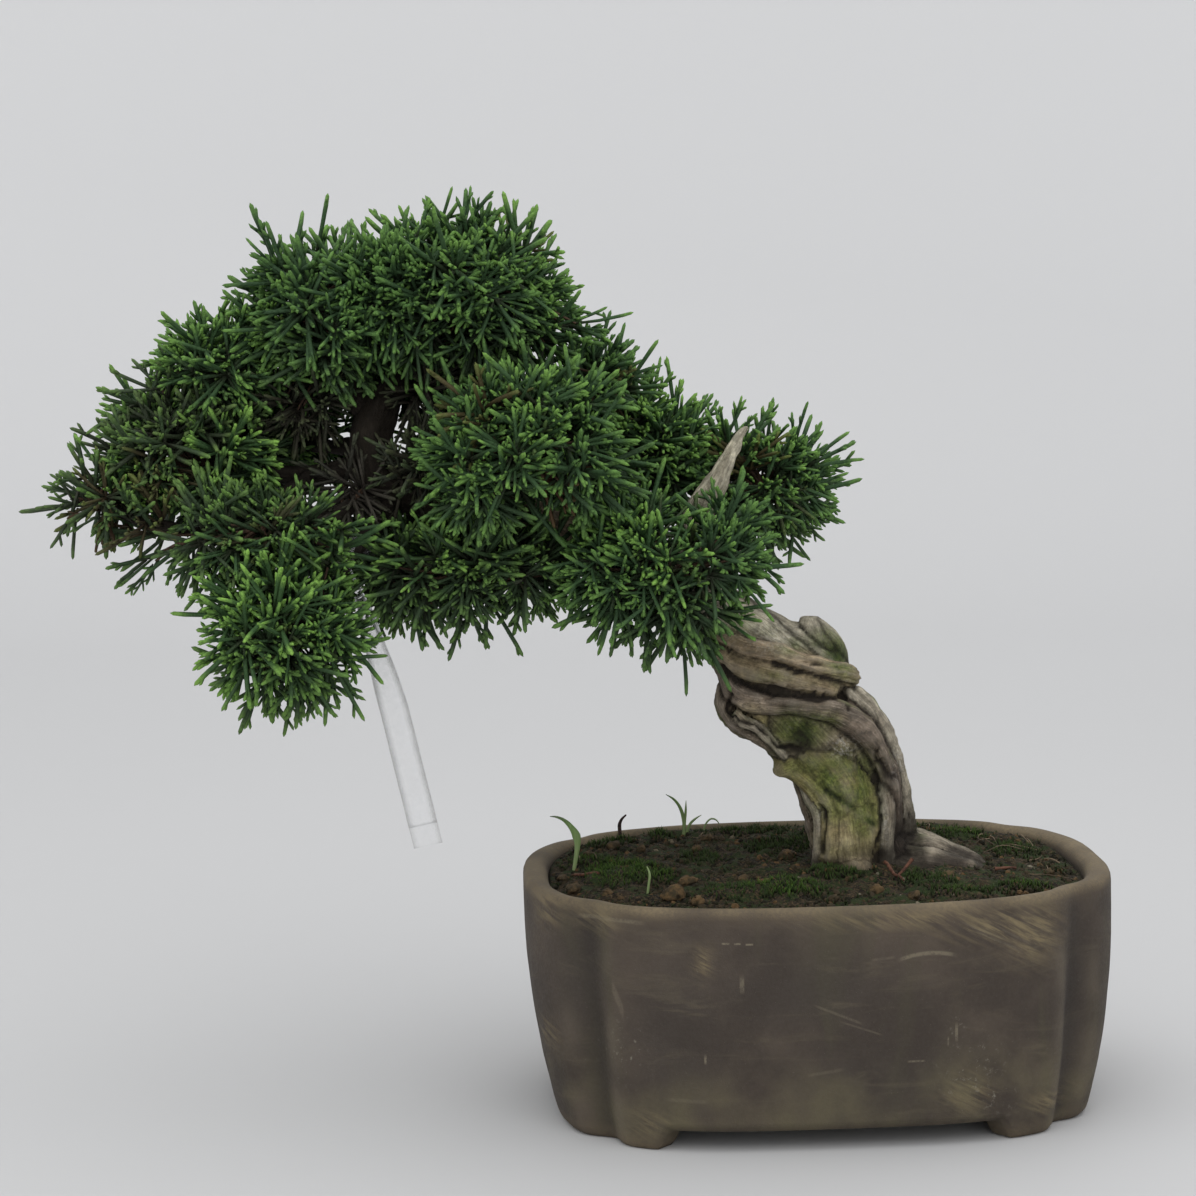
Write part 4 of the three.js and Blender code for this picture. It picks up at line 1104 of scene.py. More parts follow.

# Stains on the trunk's front, and pits that are dug in and painted with shade, as (x, z, half width, half
# height, strength).
woodStains = {
    "green": [
        (-5, 116, 9, 7, 0.9), (8, 101, 11, 9, 1.0), (5, 92, 6, 5, 0.7), (15, 89, 6, 8, 0.8),
        (-1, 105, 7, 4, 0.75), (9, 138, 6, 7, 1.0), (-6, 141.5, 6, 2.6, 0.75), (-22, 149, 6, 4, 0.45),
        (-12, 146, 5, 2, 0.4), (2, 119, 6, 4, 0.6), (12, 97, 8, 6, 0.9), (9, 80, 12, 5, 0.25),
        (13, 130, 3, 2, 0.5), (-14, 133, 7, 2, 0.35), (14, 104, 5, 5, 0.7), (5, 143, 7, 3.4, 0.7),
        (-6, 104, 5, 4, 0.6),
    ],
    "deepGreen": [(-3.6, 113.6, 3.6, 4, 0.8), (9, 138, 4.5, 2.8, 0.75), (3.4, 141, 4, 1.6, 0.6)],
    # pits that are dug in and painted with shade
    "hollow": [(-3.6, 113.6, 4, 4.5, 0.45), (29, 78, 5, 6, 0.75), (20, 74, 2.4, 5, 0.6)],
    # chalky marks, and a painted light patch on the trunk's top at x -10, z 144.5 that lifts it out of the
    # foliage's shadow
    "chalk": [
        (9, 110.5, 5, 3.2, 0.75), (-10, 144.5, 10, 4.5, 0.4), (26.6, 103, 2.6, 5, 0.6),
        (21.4, 84.5, 1.3, 7, 0.6), (1, 89, 1.2, 5, 0.4),
    ],
    "tanFlank": [
        (46, 68, 14, 4.5, 0.9), (7.6, 100.8, 3, 4, 0.6), (10, 80, 9, 8, 0.75), (-20, 122, 5, 3, 0.6),
        (4.5, 92, 3, 5, 0.5),
    ],
    "pink": [(9, 75, 9, 3.4, 0.6), (16, 116, 6, 4, 0.4), (24, 92, 3, 8, 0.5), (44, 72, 14, 5, 0.8)],
}

# Deep creases of the front, dug in and painted with shade, as (strength, half width, places along the crease
# as (x, z)).
creases = [
    (0.7, 0.9, [
        (-28, 135.7), (-24.6, 132), (-17, 129.3), (-10.4, 128.3), (-3.3, 127.1), (3.8, 126.1), (9.5, 125.4),
    ]),
    (0.7, 0.8, [(-12.3, 136.8), (-6.2, 134.6), (-2.2, 134), (3.9, 132.3), (9.5, 130), (13.6, 128.9)]),
    (0.85, 0.6, [
        (-25.7, 127), (-26.3, 122.9), (-23.3, 119.2), (-18.2, 118.5), (-13.7, 114.3), (-11.2, 111.1),
        (-8.7, 110.5), (-4.5, 109.6),
    ]),
    (0.8, 0.5, [(19, 109.2), (18.4, 102), (18.8, 96.8), (20.2, 89), (19.9, 83.9), (18.1, 77)]),
    (0.95, 1.5, [(19.9, 105.1), (22.5, 101.9), (24, 100.3)]),
    (0.8, 0.5, [(-0.7, 95.9), (2.3, 90.6), (2.5, 85.9), (1.8, 78)]),
    (0.6, 0.6, [(8.9, 126), (10.2, 122.8)]),
]
mossLines = [
    (0.95, 0.9, [(3.4, 97.3), (7.5, 94.1), (10.5, 92.4)]),
    (0.8, 0.6, [(9.5, 94), (13.6, 89.2), (18.7, 85.4)]),
]

wood = {
    "voxel": 0.92,  # of the grid on which core, strands and branches melt together
    "softenTimes": 10,
    "fibre": 2.3,
    "fibreDepth": 0.75,
    "fineDepth": 0.4,
    "crackDepth": 0.75,
    "lumpDepth": 0.6,
    "seamDepth": 0.75,
    "hollowDepth": 2.2,
    "mossDepth": 0.5,
    "creaseDepth": 1.5,
    "grainShare": 0.13,  # of a strand's length, because fibres are far longer than wide
    "stumpTop": 149.1,
}


# Evenly spaced frames along a line, as arrays of centre, direction, side, up, radius and length.
def runAlong(line, gap=1.0):
    line = np.array(line, float)
    points, radii = line[:, :3], line[:, 3]
    padded = np.concatenate([[2 * points[0] - points[1]], points, [2 * points[-1] - points[-2]]])
    centres, sizes = [], []
    for i in range(len(points) - 1):
        p0, p1, p2, p3 = padded[i : i + 4]
        steps = max(2, int(np.linalg.norm(p2 - p1) / gap))
        for t in np.arange(steps) / steps:
            square = (2 * p0 - 5 * p1 + 4 * p2 - p3) * t**2
            cube = (3 * p1 - p0 - 3 * p2 + p3) * t**3
            centres.append(0.5 * (2 * p1 + (p2 - p0) * t + square + cube))
            sizes.append(radii[i] + (radii[i + 1] - radii[i]) * t)
    centres, sizes = np.array(centres + [points[-1]]), np.array(sizes + [radii[-1]])
    ways = unit(np.gradient(centres, axis=0))
    sides = np.zeros_like(ways)
    side = np.array(Vector(ways[0]).orthogonal().normalized())
    for i, way in enumerate(ways):
        side = side - way * (side @ way)
        side /= np.linalg.norm(side)
        sides[i] = side
    ups = np.cross(ways, sides)
    lengths = np.concatenate([[0], np.cumsum(np.linalg.norm(np.diff(centres, axis=0), axis=1))])
    return centres, ways, sides, ups, sizes, lengths


# A limb round a line, its section waved by lobes, each given as (order, depth, phase).
def limbShape(line, around, gap=1.6, lobes=(), twist=0.0, flat=1.0):
    centres, ways, sides, ups, sizes, lengths = runAlong(line, gap)
    angles = np.linspace(0, 2 * math.pi, around, endpoint=False)
    rings = []
    for at, side, up, size, length in zip(centres, sides, ups, sizes, lengths):
        turned = angles - twist * length
        radius = size * (1 + sum(depth * np.cos(order * turned + phase) for order, depth, phase in lobes))
        across = side * (radius * np.cos(angles))[:, None]
        rings.append(at + across + up * (radius * flat * np.sin(angles))[:, None])
    for end, way in ((0, -1), (-1, 1)):  # rounded ends
        tip = centres[end] + (rings[end] - centres[end]) * 0.6 + ways[end] * way * sizes[end] * 0.45
        rings = [tip] + rings if end == 0 else rings + [tip]
    return closedRings(rings)


# Core, strands and branches melted into one block, and the run of each with its look.
def meltWood():
    shapes = [limbShape(coreLine, 40, 2.0, [(3, 0.07, 0.4), (5, 0.05, 1.3), (8, 0.025, 0)], 0.0075, 0.88)]
    runs = [("core", runAlong(coreLine))]
    for look, line in strands.values():
        shapes.append(limbShape(line, 20, 1.4, [(2, 0.09, 0.5), (3, 0.07, 1.9)], 0.02))
        runs.append((look, runAlong(line)))
    for line in branches.values():
        shapes.append(limbShape(line, 10, 1.6, [(3, 0.08, 0.0)], 0.05))
        runs.append(("branch", runAlong(line)))
    points, faces, _ = joined(shapes)
    block = newPiece("trunk_wood", points, faces)
    remesh = block.modifiers.new("melt", "REMESH")
    remesh.mode = "VOXEL"
    remesh.voxel_size = wood["voxel"] * mm
    soften = block.modifiers.new("soften", "SMOOTH")
    soften.factor, soften.iterations = 0.5, wood["softenTimes"]
    bpy.context.view_layer.update()
    return freeze(block), runs


# For each run and spot, how far the spot lies from the run's surface, and its place round and along it.
def placesOnRuns(spots, runs):
    gaps = np.full((len(runs), len(spots)), 1e3)
    places = np.zeros((len(runs), len(spots), 3))
    for r, (_, (centres, _, sides, ups, sizes, lengths)) in enumerate(runs):
        low, high = centres.min(axis=0) - sizes.max() - 4, centres.max(axis=0) + sizes.max() + 4
        near = np.nonzero(np.all((spots > low) & (spots < high), axis=1))[0]
        if not len(near):
            continue
        away = spots[near][:, None, :] - centres[None]
        reach = np.linalg.norm(away, axis=2) - sizes[None]
        best = reach.argmin(axis=1)
        pick = away[np.arange(len(near)), best]
        angle = np.arctan2((pick * ups[best]).sum(axis=1), (pick * sides[best]).sum(axis=1))
        angle += lengths[best] * 0.012
        gaps[r, near] = reach[np.arange(len(near)), best]
        radius = np.maximum(sizes[best], 2.0)
        along = lengths[best] * wood["grainShare"] + r * 9.0
        places[r, near] = columns(np.cos(angle) * radius, np.sin(angle) * radius, along)
    return gaps, places


def stainsOn(spots, front):
    stains = {}
    for name, marks in woodStains.items():
        amount = np.zeros(len(spots))
        for x, z, wide, tall, strength in marks:
            away = ovalShare(spots[:, 0] - x, spots[:, 2] - z, wide, tall)
            amount = np.maximum(amount, strength * np.exp(-(away**1.5)))
        stains[name] = amount * front
    return stains


# How strongly each spot is marked by lines that run over the front.
def lineAmount(lines, spots, front):
    flat = spots * np.array([1, 0, 1])
    wander = 0.5 * noiseAt(spots, 4.0, 41.0)
    amount = np.zeros(len(spots))
    for strength, width, path in lines:
        path = [(x, 0, z) for x, z in path]
        away = rodDepth(flat, [(a, b, 0, 0) for a, b in zip(path, path[1:])]) + wander
        amount = np.maximum(amount, strength * bell(np.clip(away, 0, None), width))
    return amount * smoothStep(-2, -5, spots[:, 1]) * front


# How far each spot lies below the mean of its neighbours, taken a few rings wide.
def cavityOf(block, spots, normals):
    edges = np.empty(len(block.data.edges) * 2, int)
    block.data.edges.foreach_get("vertices", edges)
    a, b = edges.reshape(-1, 2).T
    degree = np.bincount(np.concatenate([a, b]), minlength=len(spots))[:, None]
    mean = spots
    for _ in range(5):
        total = np.zeros_like(mean)
        np.add.at(total, a, mean[b])
        np.add.at(total, b, mean[a])
        mean = total / degree
    return np.clip(((mean - spots) * normals).sum(axis=1) / 0.55, -1, 1)


# Painted shade on the wood: darker in dug-in places, under the foliage and beside the right flank, and at
# the soil, where it is part shade and part soiling.
def shadeOf(spots, ochre, hollowShade, lumps):
    x, y, z = spots.T
    atSoil = 0.9 * smoothStep(8.5, 1.0, z - soilHeights(x, y) + 3.0 * lumps) * (1 - 0.35 * ochre)
    underLeaves = 0.5 * smoothStep(-52, -70, x) * smoothStep(-84, -90, x)
    corner = smoothStep(97, 84, z) * smoothStep(22.6, 25.4, x) * smoothStep(36, 33, x)
    shade = np.clip(hollowShade, 0, 1)
    for other in (atSoil, underLeaves, 0.85 * corner * smoothStep(14, 4, y), smoothStep(-108, -120, x)):
        shade = np.maximum(shade, other)
    return shade


def makeWood():
    block, runs = meltWood()
    spots = (vertexValues(block, "co") - potMiddle) / mm
    normals = vertexValues(block, "normal")
    count = len(spots)
    gaps, places = placesOnRuns(spots, runs)
    order = np.argsort(gaps, axis=0)
    first, second = order[0], order[1]
    every = np.arange(count)
    grain = places[first, every]
    seam = np.exp(-np.clip(gaps[second, every] - gaps[first, every], 0, None) / 0.7)
    seam *= smoothStep(3.0, 1.0, gaps[second, every])
    onFace = np.array([look in ("belly", "ochre") for look, _ in runs])
    seam *= np.where(onFace[first] & onFace[second], 0.1, 1.0)
    looks = np.array([woodLooks[look] for look, _ in runs])[first]
    # the bleached back of the trunk, above its upper strand
    above = spots[:, 2] - (140 - 0.3 * (spots[:, 0] + 4.1))
    above = (smoothStep(0, 2, above) * smoothStep(-44, -34, spots[:, 0]))[:, None]
    looks = looks * (1 - above) + np.array(woodLooks["bleached"]) * above
    live, tan, grey, ochre, rough = looks.T
    # fibres, cracks and lumps
    fibre = np.abs(noiseAt(grain, wood["fibre"], 1.0))
    fine = np.abs(noiseAt(grain, wood["fibre"] * 0.5, 7.0))
    wander = grain + 0.9 * noiseAt(spots, 5.0, 9.0)[:, None]
    crack = noiseAt(wander * np.array([1, 1, 0.5]), 5.0, 4.0)
    crack = np.clip(1 - np.abs(crack) / 0.14, 0, 1) * smoothStep(0.25, 0.6, rough)
    crack *= smoothStep(-0.1, 0.3, noiseAt(spots, 11.0, 15.0))
    lumps = noiseAt(spots, 9.0, 5.0) + 0.5 * noiseAt(spots, 4.0, 6.0)
    depth = rough * (wood["fibreDepth"] * (0.5 - fibre) + wood["fineDepth"] * (0.3 - fine))
    depth -= crack * wood["crackDepth"]
    depth += lumps * wood["lumpDepth"] - seam * (wood["seamDepth"] - 0.6 * np.clip(ochre * 1.3, 0, 1))
    front = smoothStep(0.1, 0.6, -normals[:, 1])
    stains = stainsOn(spots, front)
    groove = lineAmount(creases, spots, front)
    stains["deepGreen"] = np.maximum(stains["deepGreen"], lineAmount(mossLines, spots, front))
    depth -= stains["hollow"] * wood["hollowDepth"] + stains["deepGreen"] * wood["mossDepth"]
    depth -= groove * wood["creaseDepth"]
    lower = smoothStep(170, 150, spots[:, 2])
    elsewhere = np.clip(noiseAt(spots, 9.0, 23.0), 0, 1) * (1 - front) * lower
    stains["green"] = np.maximum(stains["green"], elsewhere * 0.8)
    spots += normals * depth[:, None]
    # the sawn top of the stump
    onStump = (spots[:, 0] > -5) & (spots[:, 0] < 8) & (spots[:, 2] > 145)
    spots[onStump, 2] = np.minimum(spots[onStump, 2], wood["stumpTop"] + 0.15 * lumps[onStump])
    block.data.vertices.foreach_set("co", toFrame(spots).ravel())
    block.data.update()
    block.data.polygons.foreach_set("use_smooth", [True] * len(block.data.polygons))
    cavity = cavityOf(block, spots, normals)
    soft = 1 - 0.65 * np.clip(ochre * 1.3, 0, 1)
    # painted shade in the seams between strands, in cavities, dug-in pits, cracks and creases
    hollowShade = np.maximum(seam * 0.85 * soft, cavity) + stains.pop("hollow") * 0.8 + crack * 0.4 + groove
    # painted highlight on convex crests
    values = {"live": live, "tan": tan, "grey": grey, "ochre": ochre, "crest": np.clip(-cavity, 0, 1)}
    values["hollow"] = shadeOf(spots, ochre, hollowShade, lumps)
    setAttributes(block, grain=grain, **values, **stains)
    block.data.materials.append(makeWoodFinish())
    keep(block, "juniper_wood", "trunk")


def makeWoodFinish():
    material, tree, surface = newMaterial("twistedJuniperWood", 0.85, 0.25)
    place = objectPlace(tree)
    grain = attributeOf(tree, "grain", "Vector")
    streak = noiseNode(grain, 0.55, 5, 0.65)
    thin = noiseNode(grain, 1.7, 4, 0.7)
    patch = noiseNode(place, 110, 4, 0.6)
    speck = noiseNode(place, 900, 3, 0.7)
    flaky = noiseNode(place, 760, 4, 0.75)
    mottle = noiseNode(place, 340, 5, 0.75)
    plain = twoTone(patch, 0.35, 0.65, (0.14, 0.105, 0.065), (0.25, 0.2, 0.13))
    tan = twoTone(streak, 0.35, 0.62, (0.175, 0.128, 0.076), (0.46, 0.355, 0.235))
    grey = twoTone(streak, 0.38, 0.62, (0.33, 0.3, 0.225), (0.68, 0.63, 0.49))
    bark = twoTone(streak, 0.35, 0.6, (0.06, 0.043, 0.032), (0.19, 0.145, 0.105))
    bark = blendColour(between(thin, 0.52, 0.72, (0.0, 0.7)), bark, (0.36, 0.3, 0.24))
    ochre = twoTone(patch, 0.4, 0.62, (0.2, 0.16, 0.064), (0.4, 0.34, 0.15))
    sandy = twoTone(streak, 0.35, 0.6, (0.3, 0.23, 0.12), (0.52, 0.43, 0.25))
    algae = twoTone(speck, 0.35, 0.65, (0.058, 0.09, 0.014), (0.155, 0.195, 0.036))
    colour = layered(
        tree,
        plain,
        ("tan", tan),
        ("grey", grey),
        (worn(tree, "live", patch, 0.25, 0.5, (0.65, 1.0)), bark),
        ("ochre", ochre),
        ("tanFlank", sandy),
        ("pink", (0.2, 0.15, 0.115)),
        (worn(tree, "green", patch, 0.3, 0.52, (0.3, 1.0)), algae),
        ("deepGreen", (0.03, 0.05, 0.012)),
        # chalky marks, with a painted light patch on the trunk's top
        (worn(tree, "chalk", speck, 0.45, 0.6), (0.5, 0.47, 0.42)),
    )
    colour = scaled(tree, colour, between(thin, 0.36, 0.6, (0.72, 1.12)))
    colour = scaled(tree, colour, between(mottle, 0.34, 0.66, (0.66, 1.3)))
    pitted = between(attributeOf(tree, "live"), 0.0, 1.0, (0.12, 0.65))
    colour = layered(
        tree,
        colour,
        (times(between(flaky, 0.52, 0.66), pitted), (0.05, 0.038, 0.028)),
        # painted highlight on convex crests
        (times(attributeOf(tree, "crest"), 0.35), (0.36, 0.32, 0.26)),
        # painted shade: seams, cavities, cracks, creases, the soil's edge and under the foliage
        (times(attributeOf(tree, "hollow"), 0.95), (0.016, 0.012, 0.009)),
    )
    paint(surface, colour)
    coarse = addBump(surface, streak, 0.0011, strength=0.7)
    middle = addBump(surface, thin, 0.0006, coarse, 0.7)
    addBump(surface, flaky, 0.0007, middle, 0.8)
    return material


print("wood")
makeWood()


# Foliage: clouds of forked cord-like shoots round the ends of fine twigs

# Clouds as (x, y, z, radius along x, along y, along z), each named for the node that it stands for.
clouds = {
    "crown_right": (-104, 2, 250, 38, 35, 30),
    "crown_left": (-143.5, 4, 244.7, 33.5, 34, 28.5),
    "crown_back": (-122, 44, 236, 40, 30, 28),
    "shoulder_left": (-178, 8, 230, 26, 30, 21),
    "left_middle": (-188, 7, 203, 34, 31, 27),
    "left_back": (-171, 44, 206, 34, 28, 27),
    "left_tip": (-213, -2, 192, 18, 18, 15),
    "left_front": (-168, -20, 181, 33, 21, 20),
    "left_ball": (-159, -26, 152.3, 30, 28, 28),
    "middle_front": (-87, -30, 203, 37, 27, 31),
    "middle_low": (-105, -10, 168, 41, 26, 21),
    "right_low": (-46, -24, 170, 37, 27, 28),
    "right_back": (-53.5, 20, 200.2, 34, 27, 26.5),
    "far_right": (-13, 27, 187.5, 30, 28, 25),
    "middle_back": (-88, 50, 198, 36, 28, 29),
    "low_back": (-128, 34, 170, 36, 26, 20),
}

# Looser growth that closes the gaps between two clouds, each kept with the first one's piece; the last value
# says how much of it is old growth, half bare and painted dark as shade in the recess where it lies.
bridges = {
    "crown_right": [(-116, 4, 224, 20, 18, 14, 0.9), (-126, -8, 251, 17, 20, 24, 0)],
    "crown_left": [(-152, 2, 219, 22, 18, 15, 0.8), (-131, 2, 216, 17, 13, 16, 1)],
    "left_front": [(-138, -4, 193, 16, 13, 15, 1)],
    "middle_front": [(-118, -8, 199, 16, 14, 15, 0.8)],
    "right_back": [(-65, 4, 222, 18, 18, 14, 0)],
    "middle_low": [(-128, -8, 165, 14, 14, 13, 0.4)],
}

foliage = {
    "tuftGap": 11.5,  # between the ends of the twigs
    "shootReach": 14.5,  # from there to the cloud's surface
    "shootsPerTuft": 18,
    "stem": 6.0,
    "spread": 98,  # degrees from the tuft's own axis
    "least": 0.74,
    "most": 1.16,
    "innerTufts": 0.35,
    "crowding": 1.9,
    "seed": 3,
}

# Side tufts on the bare ends of branches, for each cloud: where they start and the way that they face.
sideTufts = {
    "left_tip": [
        (-222, -3, 191, -1, 0, 0.1), (-219, -4, 196, -0.5, -0.1, 0.85), (-213, -7, 190, -0.2, -0.5, -0.7),
        (-206, -9, 187, 0, -0.6, 0.6), (-201, -11, 184, -0.1, -0.5, -0.75), (-196, -11, 186, 0.1, -0.7, 0.6),
    ],
    "left_front": [
        (-198, -9, 181, -1, -0.1, -0.15), (-190, -12, 177, -0.7, -0.3, -0.6),
        (-184, -16, 180, -0.3, -0.9, 0.1), (-176, -16, 172, -0.4, -0.4, -0.7),
        (-144, -24, 176, 0.6, -0.7, 0.2), (-142, -24, 182, 0.5, -0.8, 0.3),
    ],
    "right_low": [
        (-44, -18, 154, 0.1, -0.5, -0.8), (-37, -21, 152.5, 0.3, -0.6, -0.6),
        (-50, -18, 155, -0.2, -0.4, -0.9), (-30, -18, 153, 0.85, -0.5, -0.1),
        (-41, -17, 152, -0.1, -0.4, -0.9),
    ],
    "middle_low": [(-122, -12, 158, -0.2, -0.3, -0.9)],
    "left_ball": [(-146, -28, 172, 0.5, -0.7, 0.5)],
    "left_middle": [(-203, 2, 220, -0.75, -0.2, 0.6), (-196, 0, 225, -0.5, -0.3, 0.8)],
    "far_right": [
        (-18, 20, 199, 0.1, -0.3, 0.9), (-2, 22, 199, 0.5, -0.2, 0.85), (-23, 14, 203, -0.2, -0.3, 0.9)
    ],
    "right_back": [
        (-66, 0, 227, 0.1, -0.2, 1), (-56, 2, 220, 0.8, -0.3, 0.6), (-70, -4, 228, -0.1, -0.6, 0.7),
        (-35, 12, 204, 0.3, -0.3, 0.9),
    ],
    "crown_right": [(-80, -3, 240, 0.8, -0.4, -0.1), (-79, -2, 235, 0.7, -0.4, -0.6)],
}

# Places on the front, as (x, z, radius), where the cloud is open and bare wood shows.
openSpots = [(-76.5, 182, 13), (-37, 187, 8.5)]

# Odd shoots that stand out of the outline, for each cloud: where they start and the way that they point.
strayShoots = {
    "crown_right": [
        (-118, -4, 268, 0.0, 0, 1), (-104, -2, 268, 0.15, 0, 1), (-92, 2, 264, 0.35, 0, 1),
        (-70, -4, 241.5, 1, 0, 0.05), (-74, -5, 241, 1, -0.1, 0.0),
    ],
    "crown_left": [(-160, 4, 262, -0.2, 0, 1), (-148, 2, 264, 0.05, 0, 1)],
    "left_tip": [(-219, -2, 190, -1, 0, -0.04), (-222, -4, 192, -0.1, 0, -1), (-214, -3, 196, 0.05, 0, 1)],
    "left_front": [(-199, -8, 173, -0.64, 0, -0.77), (-200.5, -10, 174, -0.91, 0, -0.4)],
    "left_ball": [(-166, -30, 139, -0.2, 0, -1), (-156, -30, 137, 0.1, 0, -1)],
    "middle_low": [
        (-118, -12, 158, -0.1, 0, -1), (-130, -12, 161, -0.4, 0, -1), (-106, -14, 157, 0.1, 0, -1)
    ],
    "right_low": [(-57, -28, 161.5, -0.2, -0.1, -1)],
    "far_right": [(4, 24, 196, 0.7, 0, 0.7), (4, 26, 188, 1, 0, 0.1)],
}


# Clouds whose shoots are given a brighter, yellower tone than the others.
brighterClouds = {
    "left_ball": 0.28, "left_middle": 0.15, "left_front": 0.15, "left_tip": 0.1, "middle_low": 0.1
}

# Clouds with dull patches, and the share of dry tufts where it is not the usual one.
dullClouds = {"left_middle": 0.6, "left_tip": 0.5, "left_front": 0.4, "low_back": 0.5, "middle_low": 0.3}
dryShare = {"left_tip": 0.12, "left_middle": 0.04}


# A forked cord: its prongs are given as (share of the length, degrees from it, reach, degrees round it).
def shootShape(length, bend, prongs, radius=0.66):
    shares = [0.0, 0.4, 0.8, 0.95, 1.0]
    line = [(bend * (s**2), 0.25 * bend * s, length * s) for s in shares]
    cords = [cordShape(line, [radius * k for k in (0.75, 0.95, 1.05, 0.85)], [0, 0.4, 0.8, 0.97, 1.0], 4)]
    for share, lean, reach, turn in prongs:
        foot = Vector((bend * share**2, 0.25 * bend * share, length * share))
        a, t = math.radians(lean), math.radians(turn)
        way = Vector((math.sin(a) * math.cos(t), math.sin(a) * math.sin(t), math.cos(a)))
        ends = [
            foot, foot + way * reach * 0.82 + Vector((0, 0, 0.2)), foot + way * reach + Vector((0, 0, 0.45))
        ]
        cords.append(cordShape(ends, [radius * 0.75, radius * 0.78], [share * 0.9, 0.93, 1.0]))
    return joined(cords)


def makeShootTemplates():
    shapes = [
        shootShape(16.5, 1.6, [(0.55, 36, 5.4, 20), (0.78, 30, 2.8, 200)]),
        shootShape(17.5, -1.4, [(0.5, 36, 5.0, 90), (0.7, 34, 3.6, 265)]),
        shootShape(14.5, 2.2, [(0.56, 38, 4.4, 60), (0.74, 32, 3.0, 220)]),
        shootShape(18.5, 0.9, [(0.8, 28, 2.6, 30)]),
        shootShape(13.5, -1.8, [(0.48, 38, 4.8, 120), (0.66, 34, 3.4, 300)]),
        shootShape(15.5, 0.6, [(0.6, 36, 4.0, 0), (0.64, 35, 3.4, 175), (0.83, 30, 2.2, 20)]),
        shootShape(17.5, 2.6, [(0.72, 33, 3.4, 180)]),
        shootShape(19, -2.2, []),
    ]
    return templates("shoots", shapes)


def makeShootFinish():
    material, tree, surface = newMaterial("scaleLeaves", 0.62, 0.14)
    tip, tone = attributeOf(tree, "tip"), attributeOf(tree, "tone")
    scales = noiseNode(objectPlace(tree), 1300, 2, 0.5)
    green = layered(
        tree,
        # the tone carries painted light, brighter where a tuft faces up and to the front
        blendColour(tone, (0.041, 0.079, 0.037), (0.061, 0.128, 0.044)),
        (between(tip, 0.66, 0.97), blendColour(tone, (0.087, 0.18, 0.05), (0.26, 0.48, 0.09))),
        (between(tip, 0.0, 0.45, (0.75, 0.0)), (0.062, 0.058, 0.044)),
        (between(scales, 0.4, 0.66, (0.0, 0.35)), (0.02, 0.045, 0.018)),
        ("dry", (0.1, 0.043, 0.022)),
        # painted shade on downward-facing and inner tufts and in recesses, with dull old growth
        ("old", (0.05, 0.043, 0.038)),
    )
    paint(surface, green)
    addBump(surface, scales, 0.0005, strength=0.8)
    return material


# Shoots that stand out round each point's own axis, within a spread, as a starburst.
def shootTree():
    inputs = [
        ("Shoots", "Collection", None), ("Per Tuft", "Int", 10), ("Spread", "Float", 1.3),
        ("Stem", "Float", 0.006), ("Least", "Float", 0.7), ("Most", "Float", 1.2),
        ("Finish", "Material", None), ("Seed", "Int", 0),
    ]
    tree, take, end = newTree("shootsOnTwigEnds", inputs)
    seed = take["Seed"]
    amount = maths("MULTIPLY", take["Per Tuft"], namedNode(tree, "fullness"))
    inputs = {"Geometry": take["Geometry"], "Amount": amount}
    many = madeBy(tree, "GeometryNodeDuplicateElements", inputs, domain="POINT")
    # the shoots of a tuft start all along a short stem, not at one point
    down = maths("MULTIPLY", randomNode(-0.75, 0.5, seed, 6), take["Stem"])
    shift = scaled(tree, namedNode(tree, "axis", "FLOAT_VECTOR"), down)
    strung = madeBy(tree, "GeometryNodeSetPosition", {"Geometry": many, "Offset": shift})
    around = randomNode(0.0, 6.283, seed, 1)
    level = maths("POWER", randomNode(0.0, 1.0, seed, 2), 0.6)
    lean = maths("MULTIPLY", level, maths("MULTIPLY", namedNode(tree, "spread"), take["Spread"]))
    sine = maths("SINE", lean)
    parts = {
        "X": maths("MULTIPLY", sine, maths("COSINE", around)),
        "Y": maths("MULTIPLY", sine, maths("SINE", around)),
        "Z": maths("COSINE", lean),
    }
    local = madeBy(tree, "ShaderNodeCombineXYZ", parts)

    def turnedTo(vector):
        return madeBy(tree, "FunctionNodeAlignRotationToVector", {"Vector": vector}, axis="Z")

    inputs = {"Vector": local, "Rotation": turnedTo(namedNode(tree, "axis", "FLOAT_VECTOR"))}
    aim = turnedTo(madeBy(tree, "FunctionNodeRotateVector", inputs))
    inputs = {"Axis": (0.0, 0.0, 1.0), "Angle": randomNode(0.0, 6.283, seed, 3)}
    spin = madeBy(tree, "FunctionNodeAxisAngleToRotation", inputs)
    inputs = {"Rotation": aim, "Rotate By": spin}
    turn = madeBy(tree, "FunctionNodeRotateRotation", inputs, rotation_space="LOCAL")
    size = maths("MULTIPLY", randomNode(take["Least"], take["Most"], seed, 4), namedNode(tree, "reach"))
    # tone with painted light from the way each tuft faces
    tone = maths("ADD", randomNode(0.0, 0.3, seed, 5), namedNode(tree, "fresh"), True)
    endTree(tree, end, placeThings(tree, strung, take["Shoots"], turn, size, tone), take["Finish"])
    return tree


def depthIn(points, blob, grown=0.0):
    away = (points - np.array(blob[:3])) / (np.array(blob[3:]) + grown)
    return np.linalg.norm(away, axis=-1)


